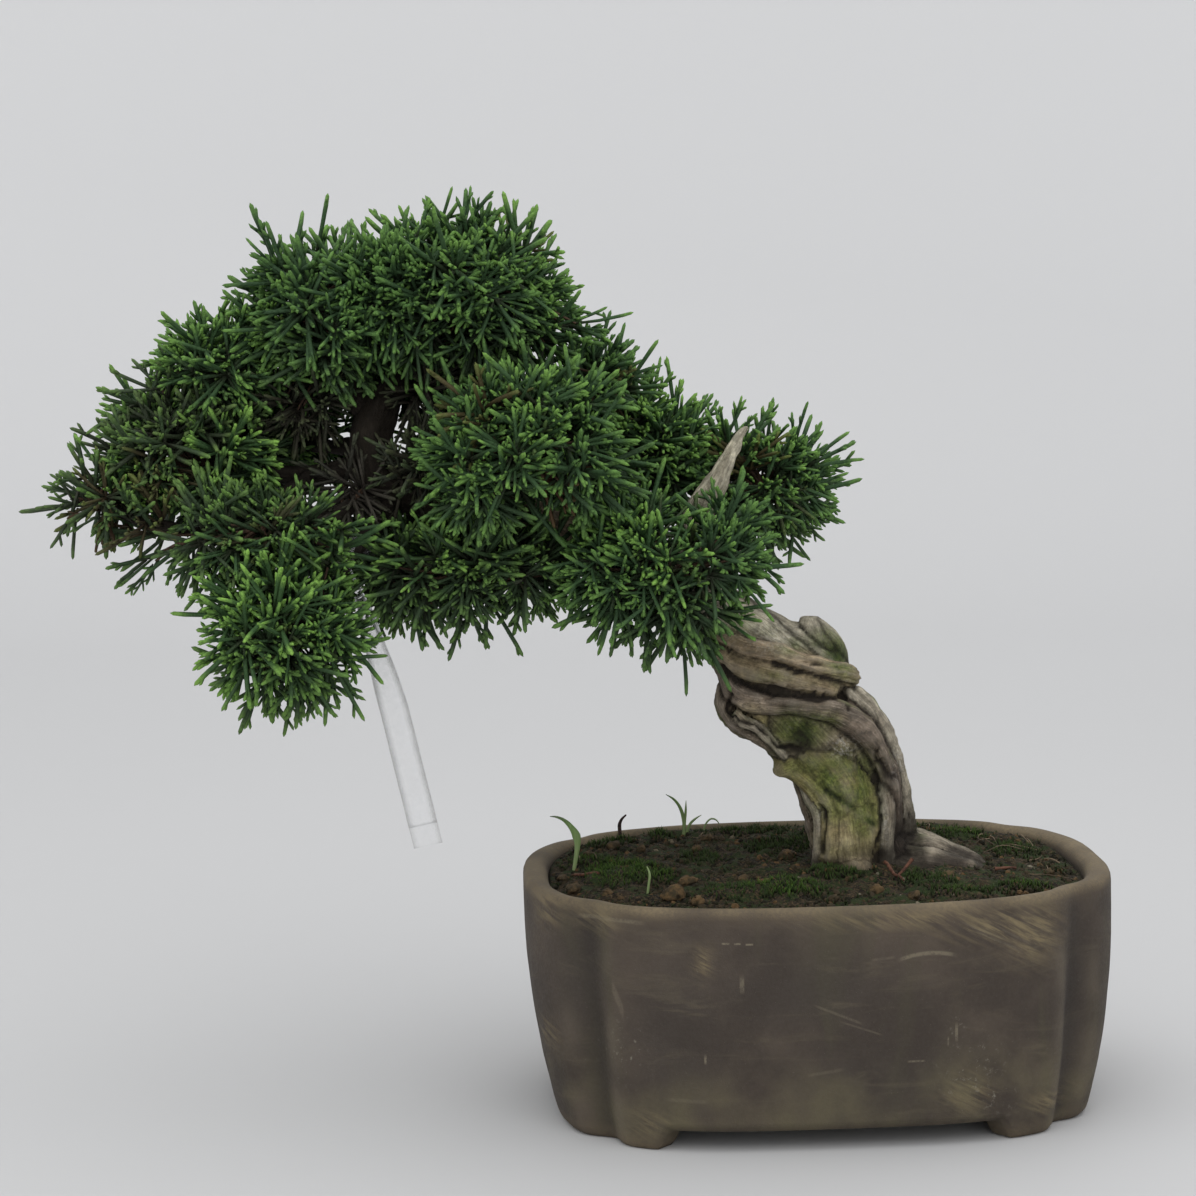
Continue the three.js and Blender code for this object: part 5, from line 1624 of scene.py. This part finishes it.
# The ends of the twigs in one rounded blob of growth: where each tuft of shoots starts, and how it faces.
def tuftsIn(blob, number, looser=1.0):
    rng = np.random.default_rng(foliage["seed"] * 100 + number)
    middle, radii = np.array(blob[:3]), np.array(blob[3:])
    layers = []
    reach = foliage["shootReach"]
    for inward, share in ((reach, 1.0), (reach * 1.75, foliage["innerTufts"])):
        shell = np.clip(radii - inward, radii * 0.25, None)
        pairs = [(shell[0] * shell[1]) ** 1.6, (shell[0] * shell[2]) ** 1.6, (shell[1] * shell[2]) ** 1.6]
        area = 4 * math.pi * np.mean(pairs) ** (1 / 1.6)
        count = max(5, int(looser * share * area / foliage["tuftGap"] ** 2 * foliage["crowding"]))
        i = np.arange(count)
        z = 1 - (2 * i + 1) / count
        turn = i * math.pi * (3 - math.sqrt(5)) + number
        ways = columns(np.sqrt(1 - z * z) * np.cos(turn), np.sqrt(1 - z * z) * np.sin(turn), z)
        ways = unit(ways + rng.normal(0, 0.14, ways.shape))
        lumps = 1 + 0.1 * noiseAt(ways * 10 + number * 31, 6.0, 2.0)
        points = middle + ways * shell * (lumps * rng.uniform(0.86, 1.08, count))[:, None]
        axes = unit(ways / shell) + (rng.normal(0, 0.25, ways.shape) + np.array([0, 0, 0.14]))
        layers.append((points, unit(axes), np.full(count, share < 1)))
    return [np.concatenate(part) for part in zip(*layers)]


def outsideOf(points, blobs, shrunk):
    return np.all([depthIn(points, blob, -shrunk) > 1 for blob in blobs], axis=0)


# A cloud's twig ends, their axes and how dark each is painted, for old growth and for shade inside the cloud
# and in its recesses, where no other cloud, wood or tape is in the way.
def twigEnds(name, number):
    reach = foliage["shootReach"]
    points, axes, inner = tuftsIn(clouds[name], number)
    free = outsideOf(points, [blob for other, blob in clouds.items() if other != name], reach * 0.95)
    # inner tufts are painted darker, as shade inside the cloud
    parts = [(points[free], axes[free], np.where(inner[free], 0.25, 0.0))]
    for k, blob in enumerate(bridges.get(name, [])):
        points, axes, _ = tuftsIn(blob[:6], number + 50 + k, 1.3)
        free = outsideOf(points, clouds.values(), reach)
        parts.append((points[free], axes[free], np.full(free.sum(), float(blob[6]))))
    points, axes, old = (np.concatenate(part) for part in zip(*parts))
    clear = (woodDepth(points) > 2.2) & (stripDepth(points) > 4)
    for x, z, radius in openSpots:
        clear &= (np.hypot(points[:, 0] - x, points[:, 2] - z) > radius) | (points[:, 1] > 4)
    return points[clear], axes[clear], old[clear]


# Lines turned into tapering twigs, with a share of the thickness at each point.
def twigTree():
    inputs = [("Thickness", "Float", 0.001), ("Sides", "Int", 5), ("Finish", "Material", None)]
    tree, take, end = newTree("twigsFromLines", inputs)
    lines = madeBy(tree, "GeometryNodeMeshToCurve", {"Mesh": take["Geometry"]})
    width = maths("MULTIPLY", namedNode(tree, "thick"), take["Thickness"])
    sized = madeBy(tree, "GeometryNodeSetCurveRadius", {"Curve": lines, "Radius": width})
    inputs = {"Resolution": take["Sides"], "Radius": 1.0}
    ring = madeBy(tree, "GeometryNodeCurvePrimitiveCircle", inputs)
    inputs = {"Curve": sized, "Profile Curve": ring, "Scale": width, "Fill Caps": True}
    endTree(tree, end, madeBy(tree, "GeometryNodeCurveToMesh", inputs), take["Finish"])
    return tree


# Lines as (points, shares of the thickness) made into one piece of twigs.
def keepTwigs(name, lines, thickness, sides, finish):
    points, edges, thick = [], [], []
    for path, shares in lines:
        edges += [(len(points) + k, len(points) + k + 1) for k in range(len(path) - 1)]
        points += list(path)
        thick += list(shares)
    piece = newPiece(name, points, [], edges=edges)
    setAttributes(piece, thick=thick)
    values = {"Thickness": thickness * mm, "Sides": sides, "Finish": finish}
    keep(runTree(piece, twigs, values), "juniper_wood")


# Fine twigs from a cloud's branch out to each tuft, as bent lines.
def twigLines(name, ends):
    centres, ways = runAlong(branches[name])[:2]
    start = len(centres) // 5
    centres, ways = centres[start:], ways[start:]
    rng = np.random.default_rng(len(name) * 7)
    steps = np.linspace(0, 1, 6)
    lines = []
    for end in ends:
        away = np.linalg.norm(centres - end, axis=1)
        near = int(np.argmin(away + 0.35 * np.abs(np.arange(len(centres)) - len(centres) * 0.75)))
        foot = centres[near]
        bend = foot + ways[near] * away[near] * 0.4 + rng.normal(0, 0.06 * away[near], 3)
        path = [foot * (1 - t) ** 2 + 2 * bend * t * (1 - t) + end * t * t for t in steps]
        lines.append((path, 1.15 - 0.7 * steps))
    return lines


def makeClouds():
    shoots, finish, tree = makeShootTemplates(), makeShootFinish(), shootTree()
    grain = (420, 3, 0.6)
    bark = mottledFinish(
        "twigBark", 0.9, 0.15, grain, (0.35, 0.65), (0.045, 0.03, 0.022), (0.12, 0.075, 0.05), 0.0006
    )
    for number, name in enumerate(clouds):
        points, axes, old = twigEnds(name, number)
        rng = np.random.default_rng(number + 5)
        full = np.where(old > 0, 0.6, 0.65 if name == "left_tip" else 1.0)
        wide = np.ones(len(points))
        for group, share, spread in ((sideTufts, 0.4, 0.7), (strayShoots, 0.17, 0.32)):
            for place in group.get(name, []):
                aim = np.array(place[3:]) / np.linalg.norm(place[3:])
                points, axes = np.vstack([points, place[:3]]), np.vstack([axes, aim])
                old, full, wide = np.append(old, 0.0), np.append(full, share), np.append(wide, spread)
        piece = newPiece("shoots_" + name, points, [])
        # painted light: tufts that face up and to the front get a brighter, yellower tone
        light = np.clip((axes[:, 2] + 0.7) / 1.7, 0, 1) * np.clip((0.8 - axes[:, 1]) / 1.4, 0.2, 1)
        patch = np.clip(0.5 + 0.9 * noiseAt(points, 24.0, 3.0), 0, 1)
        fresh = 0.75 * light * patch + brighterClouds.get(name, 0)
        # painted shade: tufts that face down are darkened through the old layer
        shaded = 0.3 * np.clip(-axes[:, 2] - 0.3, 0, 0.7) / 0.7
        dull = dullClouds.get(name, 0) * np.clip(0.5 + 1.2 * noiseAt(points, 16.0, 7.0), 0, 1)
        reach = np.where(old > 0, 0.9, rng.uniform(0.85, 1.12, len(points)))
        brown = np.where(old > 0, rng.uniform(0, 0.4, len(points)), 0.0)
        brown += np.where(rng.uniform(0, 1, len(points)) < dryShare.get(name, 0.007), 0.55, 0)
        setAttributes(
            piece, axis=axes, fullness=full, spread=wide, reach=reach, fresh=np.where(old > 0, 0.0, fresh),
            old=np.maximum(old * 0.85, np.maximum(shaded, dull)), dry=np.clip(brown, 0, 0.85),
        )
        values = {
            "Shoots": shoots, "Per Tuft": foliage["shootsPerTuft"], "Finish": finish, "Seed": 40 + number,
            "Spread": math.radians(foliage["spread"]), "Stem": foliage["stem"] * mm,
            "Least": foliage["least"], "Most": foliage["most"],
        }
        keep(runTree(piece, tree, values), "juniper_foliage", "foliage_" + name)
        keepTwigs("twigs_" + name, twigLines(name, points), 0.8, 5, bark)


print("foliage")
twigs = twigTree()
makeClouds()


# Seedlings in the soil, the dead stalk, fallen twigs and dry rootlets

# Leaves as [x, y, z, half width]; the width lies in the front view's plane, turned by the given degrees.
bladeLine = [
    [-74.6, 8.5, 66, 0.55], [-74, 8.5, 70.6, 0.6], [-73.2, 8.5, 75, 0.7], [-72.7, 8.5, 78.6, 0.95],
    [-73, 8.5, 81.4, 1.35], [-74.4, 8.5, 84, 0.9], [-76.6, 8.5, 86.4, 0.55], [-79, 8.4, 87.6, 0.35],
    [-81.2, 8.3, 87.9, 0.1],
]
tuftLeaves = [
    ([
        [-36.9, 49.5, 66, 0.6], [-36.2, 49.5, 74, 0.6], [-36.2, 49.5, 78.2, 0.7], [-37.4, 49.5, 82.2, 0.55],
        [-39.4, 49.5, 84.9, 0.4], [-42, 49.4, 86.6, 0.1],
    ], 20),
    ([
        [-36.6, 49.3, 66, 0.5], [-35.9, 49.3, 76, 0.55], [-35.5, 49.3, 80.5, 0.55], [-35.4, 49.2, 84.4, 0.1],
    ], 50),
    ([
        [-36.4, 49.7, 70, 0.45], [-34.6, 49.7, 75.6, 0.5], [-32.8, 49.8, 77.8, 0.4], [-30.4, 50, 79.3, 0.1],
    ], 10),
    ([
        [-30.6, 51.4, 70, 0.35], [-29, 51.6, 75.6, 0.35], [-27, 51.8, 77.6, 0.3], [-25.2, 52, 77, 0.25],
        [-24.2, 52, 75.4, 0.1],
    ], 30),
]
stalkLine = [
    [-58, 45.5, 66, 0.7], [-57.4, 45.5, 72, 0.6], [-57.5, 45.5, 75.4, 0.55], [-57.6, 45.5, 77.8, 0.65],
    [-56.9, 45.5, 79.4, 0.5], [-55.4, 45.5, 80.9, 0.25],
]
longBlade = [
    [-53.8, -34, 66, 0.35], [-53.4, -34.4, 72, 0.4], [-52.8, -34.6, 77, 0.4], [-53.6, -34.4, 79.6, 0.15]
]


def leafShape(line, turn=0.0, fold=0.35, thick=0.3):
    centres, ways, _, _, sizes, _ = runAlong(line, 0.7)
    angle = math.radians(turn)
    face = np.array([math.sin(angle), -math.cos(angle), 0.0])
    rings = []
    for at, way, size in zip(centres, ways, sizes):
        across = np.cross(way, face)
        across /= np.linalg.norm(across)
        through = np.cross(way, across)
        half = max(size, 0.08)
        depth = min(thick, half * 0.7)
        ring = []
        for k in range(10):
            a = 2 * math.pi * k / 10
            u = math.cos(a)
            ring.append(at + across * half * u + through * (math.sin(a) * depth + fold * half * abs(u)))
        rings.append(np.array(ring))
    return closedRings(rings)


def makeLeafFinish():
    low, high = (0.26, 0.33, 0.15), (0.09, 0.18, 0.035)
    material, tree, surface = newMaterial("grassLeaf", 0.5, 0.35)
    tip = attributeOf(tree, "tip")
    veins = noiseNode(objectPlace(tree, (2600, 2600, 160)), 1.0, 2, 0.5)
    colour = layered(
        tree,
        blendColour(tip, low, high),
        (between(tip, 0.8, 1.0), (0.05, 0.07, 0.035)),
        (between(veins, 0.4, 0.7, (0.0, 0.3)), low),
    )
    paint(surface, colour)
    addBump(surface, veins, 0.0002)
    return material


def makeSeedlings():
    finish = makeLeafFinish()
    for name, shapes, node, low, high in (
        ("grass_leaf", [leafShape(bladeLine, 8, 0.25)], "grass_blade", 68, 89),
        ("grass_leaves", [leafShape(line, turn) for line, turn in tuftLeaves], "grass_tuft", 70, 88),
    ):
        points, faces, _ = joined(shapes)
        piece = newPiece(name, points, faces, finish)
        setAttributes(piece, tip=np.clip((np.array(points)[:, 2] - low) / (high - low), 0, 1))
        keep(piece, "seedling", node)
    piece = newPiece("long_grass_blade", *leafShape(longBlade, 15), finish)
    setAttributes(piece, tip=np.full(len(piece.data.vertices), 0.25))
    keep(piece, "seedling")
    grain = (700, 3, 0.6)
    bark = mottledFinish(
        "deadStem", 0.8, 0.2, grain, (0.35, 0.65), (0.02, 0.014, 0.012), (0.07, 0.045, 0.035), 0.0005
    )
    stem = newPiece("dead_stem", *limbShape(stalkLine, 10, 0.5, [(2, 0.12, 0.3), (3, 0.08, 1)], 0.3), bark)
    keep(stem, "dead_stalk", "dead_stalk")


# Fallen reddish twigs as [x, y, height over the soil] lines, and dry rootlets as (x, y, length).
fallenTwigs = [
    [(19.8, -22, 3.6), (21.3, -30, 1.8), (23.2, -37, 0.7)],
    [(27.6, -26, 4.6), (25, -28, 2.6), (22, -30.5, 1)], [(54, -19, 0.7), (57, -19.5, 0.8), (60.5, -20, 0.7)],
    [(-20, -30, 0.6), (-14, -27, 0.7), (-9, -29, 0.5)], [(-67, -12, 0.5), (-72, -6, 1.2), (-75, -3, 0.7)],
]
rootletSpots = [
    (64.5, 11.6, 14), (70, 26, 14), (75, 2, 9), (71, -20, 12), (60, 30, 12), (52, 38, 10), (45, 44, 12),
    (57, 20, 11), (-70, 20, 8), (-30, 40, 9), (38, -26, 7),
]


# How far out a place on the soil lies, with 1 at the pot's inner wall.
def planShare(x, y):
    return np.abs(x / 79) ** 3.2 + np.abs(y / 61) ** 3.2


# A line with a thickness that falls evenly from its start to its end.
def taperedLine(path, start, end):
    return path, [start + (end - start) * k / (len(path) - 1) for k in range(len(path))]


def makeLitter():
    lines = []
    for line in fallenTwigs:
        line = np.array(line, float)
        along = np.linspace(0, len(line) - 1, 9)
        x, y, above = (np.interp(along, range(len(line)), column) for column in line.T)
        lines.append(taperedLine(columns(x, y, soilHeights(x, y) + above), 1.0, 0.6))
    grain = (600, 3, 0.6)
    reddish = mottledFinish(
        "fallenTwigs", 0.75, 0.25, grain, (0.35, 0.65), (0.06, 0.025, 0.016), (0.14, 0.062, 0.037)
    )
    keepTwigs("fallen_twigs", lines, 0.6, 8, reddish)
    lines = []
    rng = np.random.default_rng(8)
    steps = np.linspace(-0.5, 0.5, 9)
    for x, y, length in rootletSpots:
        for _ in range(2):
            turn, way = rng.uniform(-0.5, 0.5), rng.uniform(0, 2 * math.pi)
            c, s = math.cos(way), math.sin(way)
            xs = x + rng.normal(0, 2) + length * steps * c - turn * length * steps**2 * s
            ys = y + rng.normal(0, 2) + length * steps * s + turn * length * steps**2 * c
            inside = planShare(xs, ys) < 0.95
            if inside.sum() < 4:
                continue
            xs, ys = xs[inside], ys[inside]
            arch = 0.4 + rng.uniform(0, 1.4) * np.sin(np.linspace(0, math.pi, len(xs)))
            lines.append(taperedLine(columns(xs, ys, soilHeights(xs, ys) + arch), 1.0, 0.45))
    grain = (120, 2, 0.5)
    pale = mottledFinish(
        "dryRootlets", 0.8, 0.2, grain, (0.4, 0.6), (0.08, 0.058, 0.038), (0.2, 0.15, 0.098)
    )
    keepTwigs("dry_rootlets", lines, 0.22, 6, pale)


# The clear tape, looped round its branch and folded back on itself

tape = {
    "width": 9,
    "film": 0.2,
    "gap": 0.16,  # half of the space between its two layers
    "shorter": 6.5,  # how much sooner the front layer ends
    "bulge": 0.1,  # of a layer's middle over its edges
    "loop": (-138.5, -11, 174, 3.9),  # middle and radius
    "loopAxis": (-7, -8, -11),
    "loopSteps": 48,
    "line": [
        (-141.2, -12.6, 172), (-140.4, -13, 168.5), (-136, -16, 156.5), (-128.2, -18, 127.5),
        (-119, -19, 85),
    ],
    "turns": (84, 80, 60, 14, 8),  # degrees that its width stands from the front view's plane
    "places": (-1, -0.93, -0.5, 0, 0.5, 0.93, 1),  # of its points, across half of the width
    "glintFrom": (146, 150),  # heights between which light catches its edges
    "glintTo": (171, 169),
}


# One layer of the tape along its line, with a mark of 1 for each point on its rim.
def ribbonShape(offset, steps, cut=0.0):
    line, film, places = np.array(tape["line"], float), tape["film"], np.array(tape["places"])
    lengths = np.concatenate([[0], np.cumsum(np.linalg.norm(np.diff(line, axis=0), axis=1))])
    along = np.linspace(0, lengths[-1] - cut, steps)
    centres = np.stack([np.interp(along, lengths, line[:, k]) for k in range(3)], axis=1)
    for _ in range(3):  # round off the corners of the line
        centres[1:-1] = 0.25 * centres[:-2] + 0.5 * centres[1:-1] + 0.25 * centres[2:]
    angles = np.radians(np.interp(along, lengths, tape["turns"]))
    ways = unit(np.gradient(centres, axis=0))
    bulge = (tape["bulge"] * (1 - places * places))[:, None]
    rim = np.where(np.abs(places) > 0.9, 1.0, 0.0)
    rings, marks = [], []
    for i, way in enumerate(ways):
        across = np.array([math.cos(angles[i]), -math.sin(angles[i]), 0])
        across -= way * (across @ way)
        across /= np.linalg.norm(across)
        through = np.cross(way, across)
        lift = through * (offset + 0.12 * math.sin(along[i] * 0.31 + offset * 5))
        middle = centres[i] + across * (tape["width"] / 2) * places[:, None] + lift
        low, top = middle - through * (film / 2 - bulge), middle + through * (film / 2 + bulge)
        rings.append(np.concatenate([low, top[::-1]]))
        atEnd = 1.0 if i == len(ways) - 1 and cut else 0.0
        marks.append(np.maximum(np.concatenate([rim, rim[::-1]]), atEnd))
    return *closedRings(rings), np.concatenate(marks + [[0.0, 0.0]])


def loopShape():
    x, y, z, radius = tape["loop"]
    axis = Vector(tape["loopAxis"]).normalized()
    aside = axis.orthogonal().normalized()
    other = axis.cross(aside)
    half, film = tape["width"] / 2, tape["film"] / 2
    section = [
        (-film, -1), (-film, 0), (-film, 1), (film, 1), (film, 0.93), (film, 0), (film, -0.93), (film, -1)
    ]
    points, faces, marks = [], [], []
    around, count = tape["loopSteps"], len(section)
    for k in range(around):
        a = 2 * math.pi * k / around
        out = aside * math.cos(a) + other * math.sin(a)
        points += [Vector((x, y, z)) + out * (radius + r) + axis * half * u for r, u in section]
        marks += [float(abs(u) > 0.9) for _, u in section]
        here, after = k * count, (k + 1) % around * count
        for i in range(count):
            j = (i + 1) % count
            faces.append((here + i, here + j, after + j, after + i))
    return points, faces, marks


def makeFilm():
    material, tree, surface = newMaterial("clearFilm", 0.12, 0.6)
    rim, glint = attributeOf(tree, "edge"), attributeOf(tree, "glint")
    haze = between(noiseNode(objectPlace(tree), 160, 3, 0.6), 0.35, 0.7, (0.03, 0.1))
    film = maths("ADD", haze, times(rim, 0.24), True)
    film = maths("MAXIMUM", film, times(glint, 0.9), True)
    tree.links.new(film, surface.inputs["Alpha"])
    pale = blendColour(rim, (0.86, 0.87, 0.88), (0.5, 0.5, 0.49))
    paint(surface, blendColour(glint, pale, (0.93, 0.95, 0.96)))
    return material


def makeTape():
    back, front = ribbonShape(-tape["gap"], 90), ribbonShape(tape["gap"], 84, tape["shorter"])
    points, faces, edge = joined([back, front, loopShape()])
    piece = newPiece("tape", points, faces, makeFilm())
    setAttributes(piece, edge=edge)
    height = np.array(points)[:, 2]
    lit = smoothStep(*tape["glintFrom"], height) * smoothStep(*tape["glintTo"], height)
    setAttributes(piece, glint=np.array(edge) * lit)
    keep(piece, "clear_film", "label_strip")


print("seedlings, litter and tape")
makeSeedlings()
makeLitter()
makeTape()


# Floor, lights and camera

room = {
    "sky": 0.79,
    "skyColour": (0.97, 0.98, 1.0, 1),
    "floor": (0.57, 0.57, 0.57),
    "wall": (0.93, 0.93, 0.93),
    # painted light: the floor is coloured lighter with distance, into the wall's white, making up for the
    # lamps' falloff
    "lightFade": (0.55, 3.6),  # metres from the middle over which the floor turns into the wall
    "half": 12,  # metres from the middle to the sides and to the front
    "bend": (1.2, 0.9),  # where the floor starts to rise, and the radius of the rise
    "top": 3.2,
    "lamps": [
        ("overhead", 10.5, 2.1, (-0.15, -0.35, 1.3), (0, 0, 0.12)),
        ("frontFill", 4, 1.4, (0.5, -1.5, 0.7), (0, 0, 0.12)),
        ("backFill", 1.6, 1.2, (0.3, 1.1, 1.1), (0, 0, 0.15)),
    ],
}


def makeFloor():
    bpy.ops.mesh.primitive_plane_add(size=1)
    floor = bpy.context.object
    floor.name = "floor"
    half, (start, radius) = room["half"], room["bend"]
    profile = [(-half, 0), (start, 0)]
    for a in np.linspace(0.1, math.pi / 2, 12):
        profile.append((start + radius * math.sin(a), radius - radius * math.cos(a)))
    profile.append((start + radius, room["top"]))
    shape = bmesh.new()
    rows = [[shape.verts.new((x, y, z)) for y, z in profile] for x in (-half, half)]
    for i in range(len(profile) - 1):
        shape.faces.new((rows[0][i], rows[1][i], rows[1][i + 1], rows[0][i + 1]))
    shape.to_mesh(floor.data)
    shape.free()
    floor.data.polygons.foreach_set("use_smooth", [True] * len(floor.data.polygons))
    material, tree, surface = newMaterial("paleFloor", 0.7, 0.2)
    far = addNode(tree, "ShaderNodeVectorMath", {0: objectPlace(tree)}, operation="LENGTH").outputs["Value"]
    # painted light: lighter with distance from the middle, against the lamps' falloff
    paint(surface, twoTone(far, *room["lightFade"], room["floor"], room["wall"]))
    floor.data.materials.append(material)


def makeLights():
    scene = bpy.context.scene
    scene.view_settings.view_transform = "Standard"
    world = scene.world or bpy.data.worlds.new("room")
    scene.world = world
    world.use_nodes = True
    sky = world.node_tree.nodes["Background"]
    sky.inputs["Color"].default_value = room["skyColour"]
    sky.inputs["Strength"].default_value = room["sky"]
    for name, power, size, at, aim in room["lamps"]:
        light = bpy.data.lights.new(name, "AREA")
        light.energy, light.size = power, size
        lamp = bpy.data.objects.new(name, light)
        lamp.location = at
        lamp.rotation_euler = (Vector(aim) - Vector(at)).to_track_quat("-Z", "Y").to_euler()
        scene.collection.objects.link(lamp)


# The camera of the front view: millimetres from the middle of the pot's foot, and degrees.
view = {"at": (-103.9, -892.6, 251.0), "yaw": 2.5, "pitch": -6.0, "roll": 1.3, "lens": 87.8}


def makeCamera():
    camera = bpy.data.cameras.new("frontCamera")
    camera.lens = view["lens"]
    camera.sensor_width = 36
    camera.clip_start = 0.05
    holder = bpy.data.objects.new("frontCamera", camera)
    yaw, pitch, roll = (math.radians(view[k]) for k in ("yaw", "pitch", "roll"))
    look = Vector((math.sin(yaw) * math.cos(pitch), math.cos(yaw) * math.cos(pitch), math.sin(pitch)))
    across = Vector((math.cos(yaw), -math.sin(yaw), 0))
    up = across.cross(look)
    right = across * math.cos(roll) - up * math.sin(roll)
    up = across * math.sin(roll) + up * math.cos(roll)
    turned = Matrix((right, up, -look)).transposed().to_4x4()
    turned.translation = Vector(toFrame(view["at"]))
    holder.matrix_world = turned
    bpy.context.scene.collection.objects.link(holder)
    bpy.context.scene.camera = holder


print("floor, lights and camera")
makeFloor()
makeLights()
makeCamera()
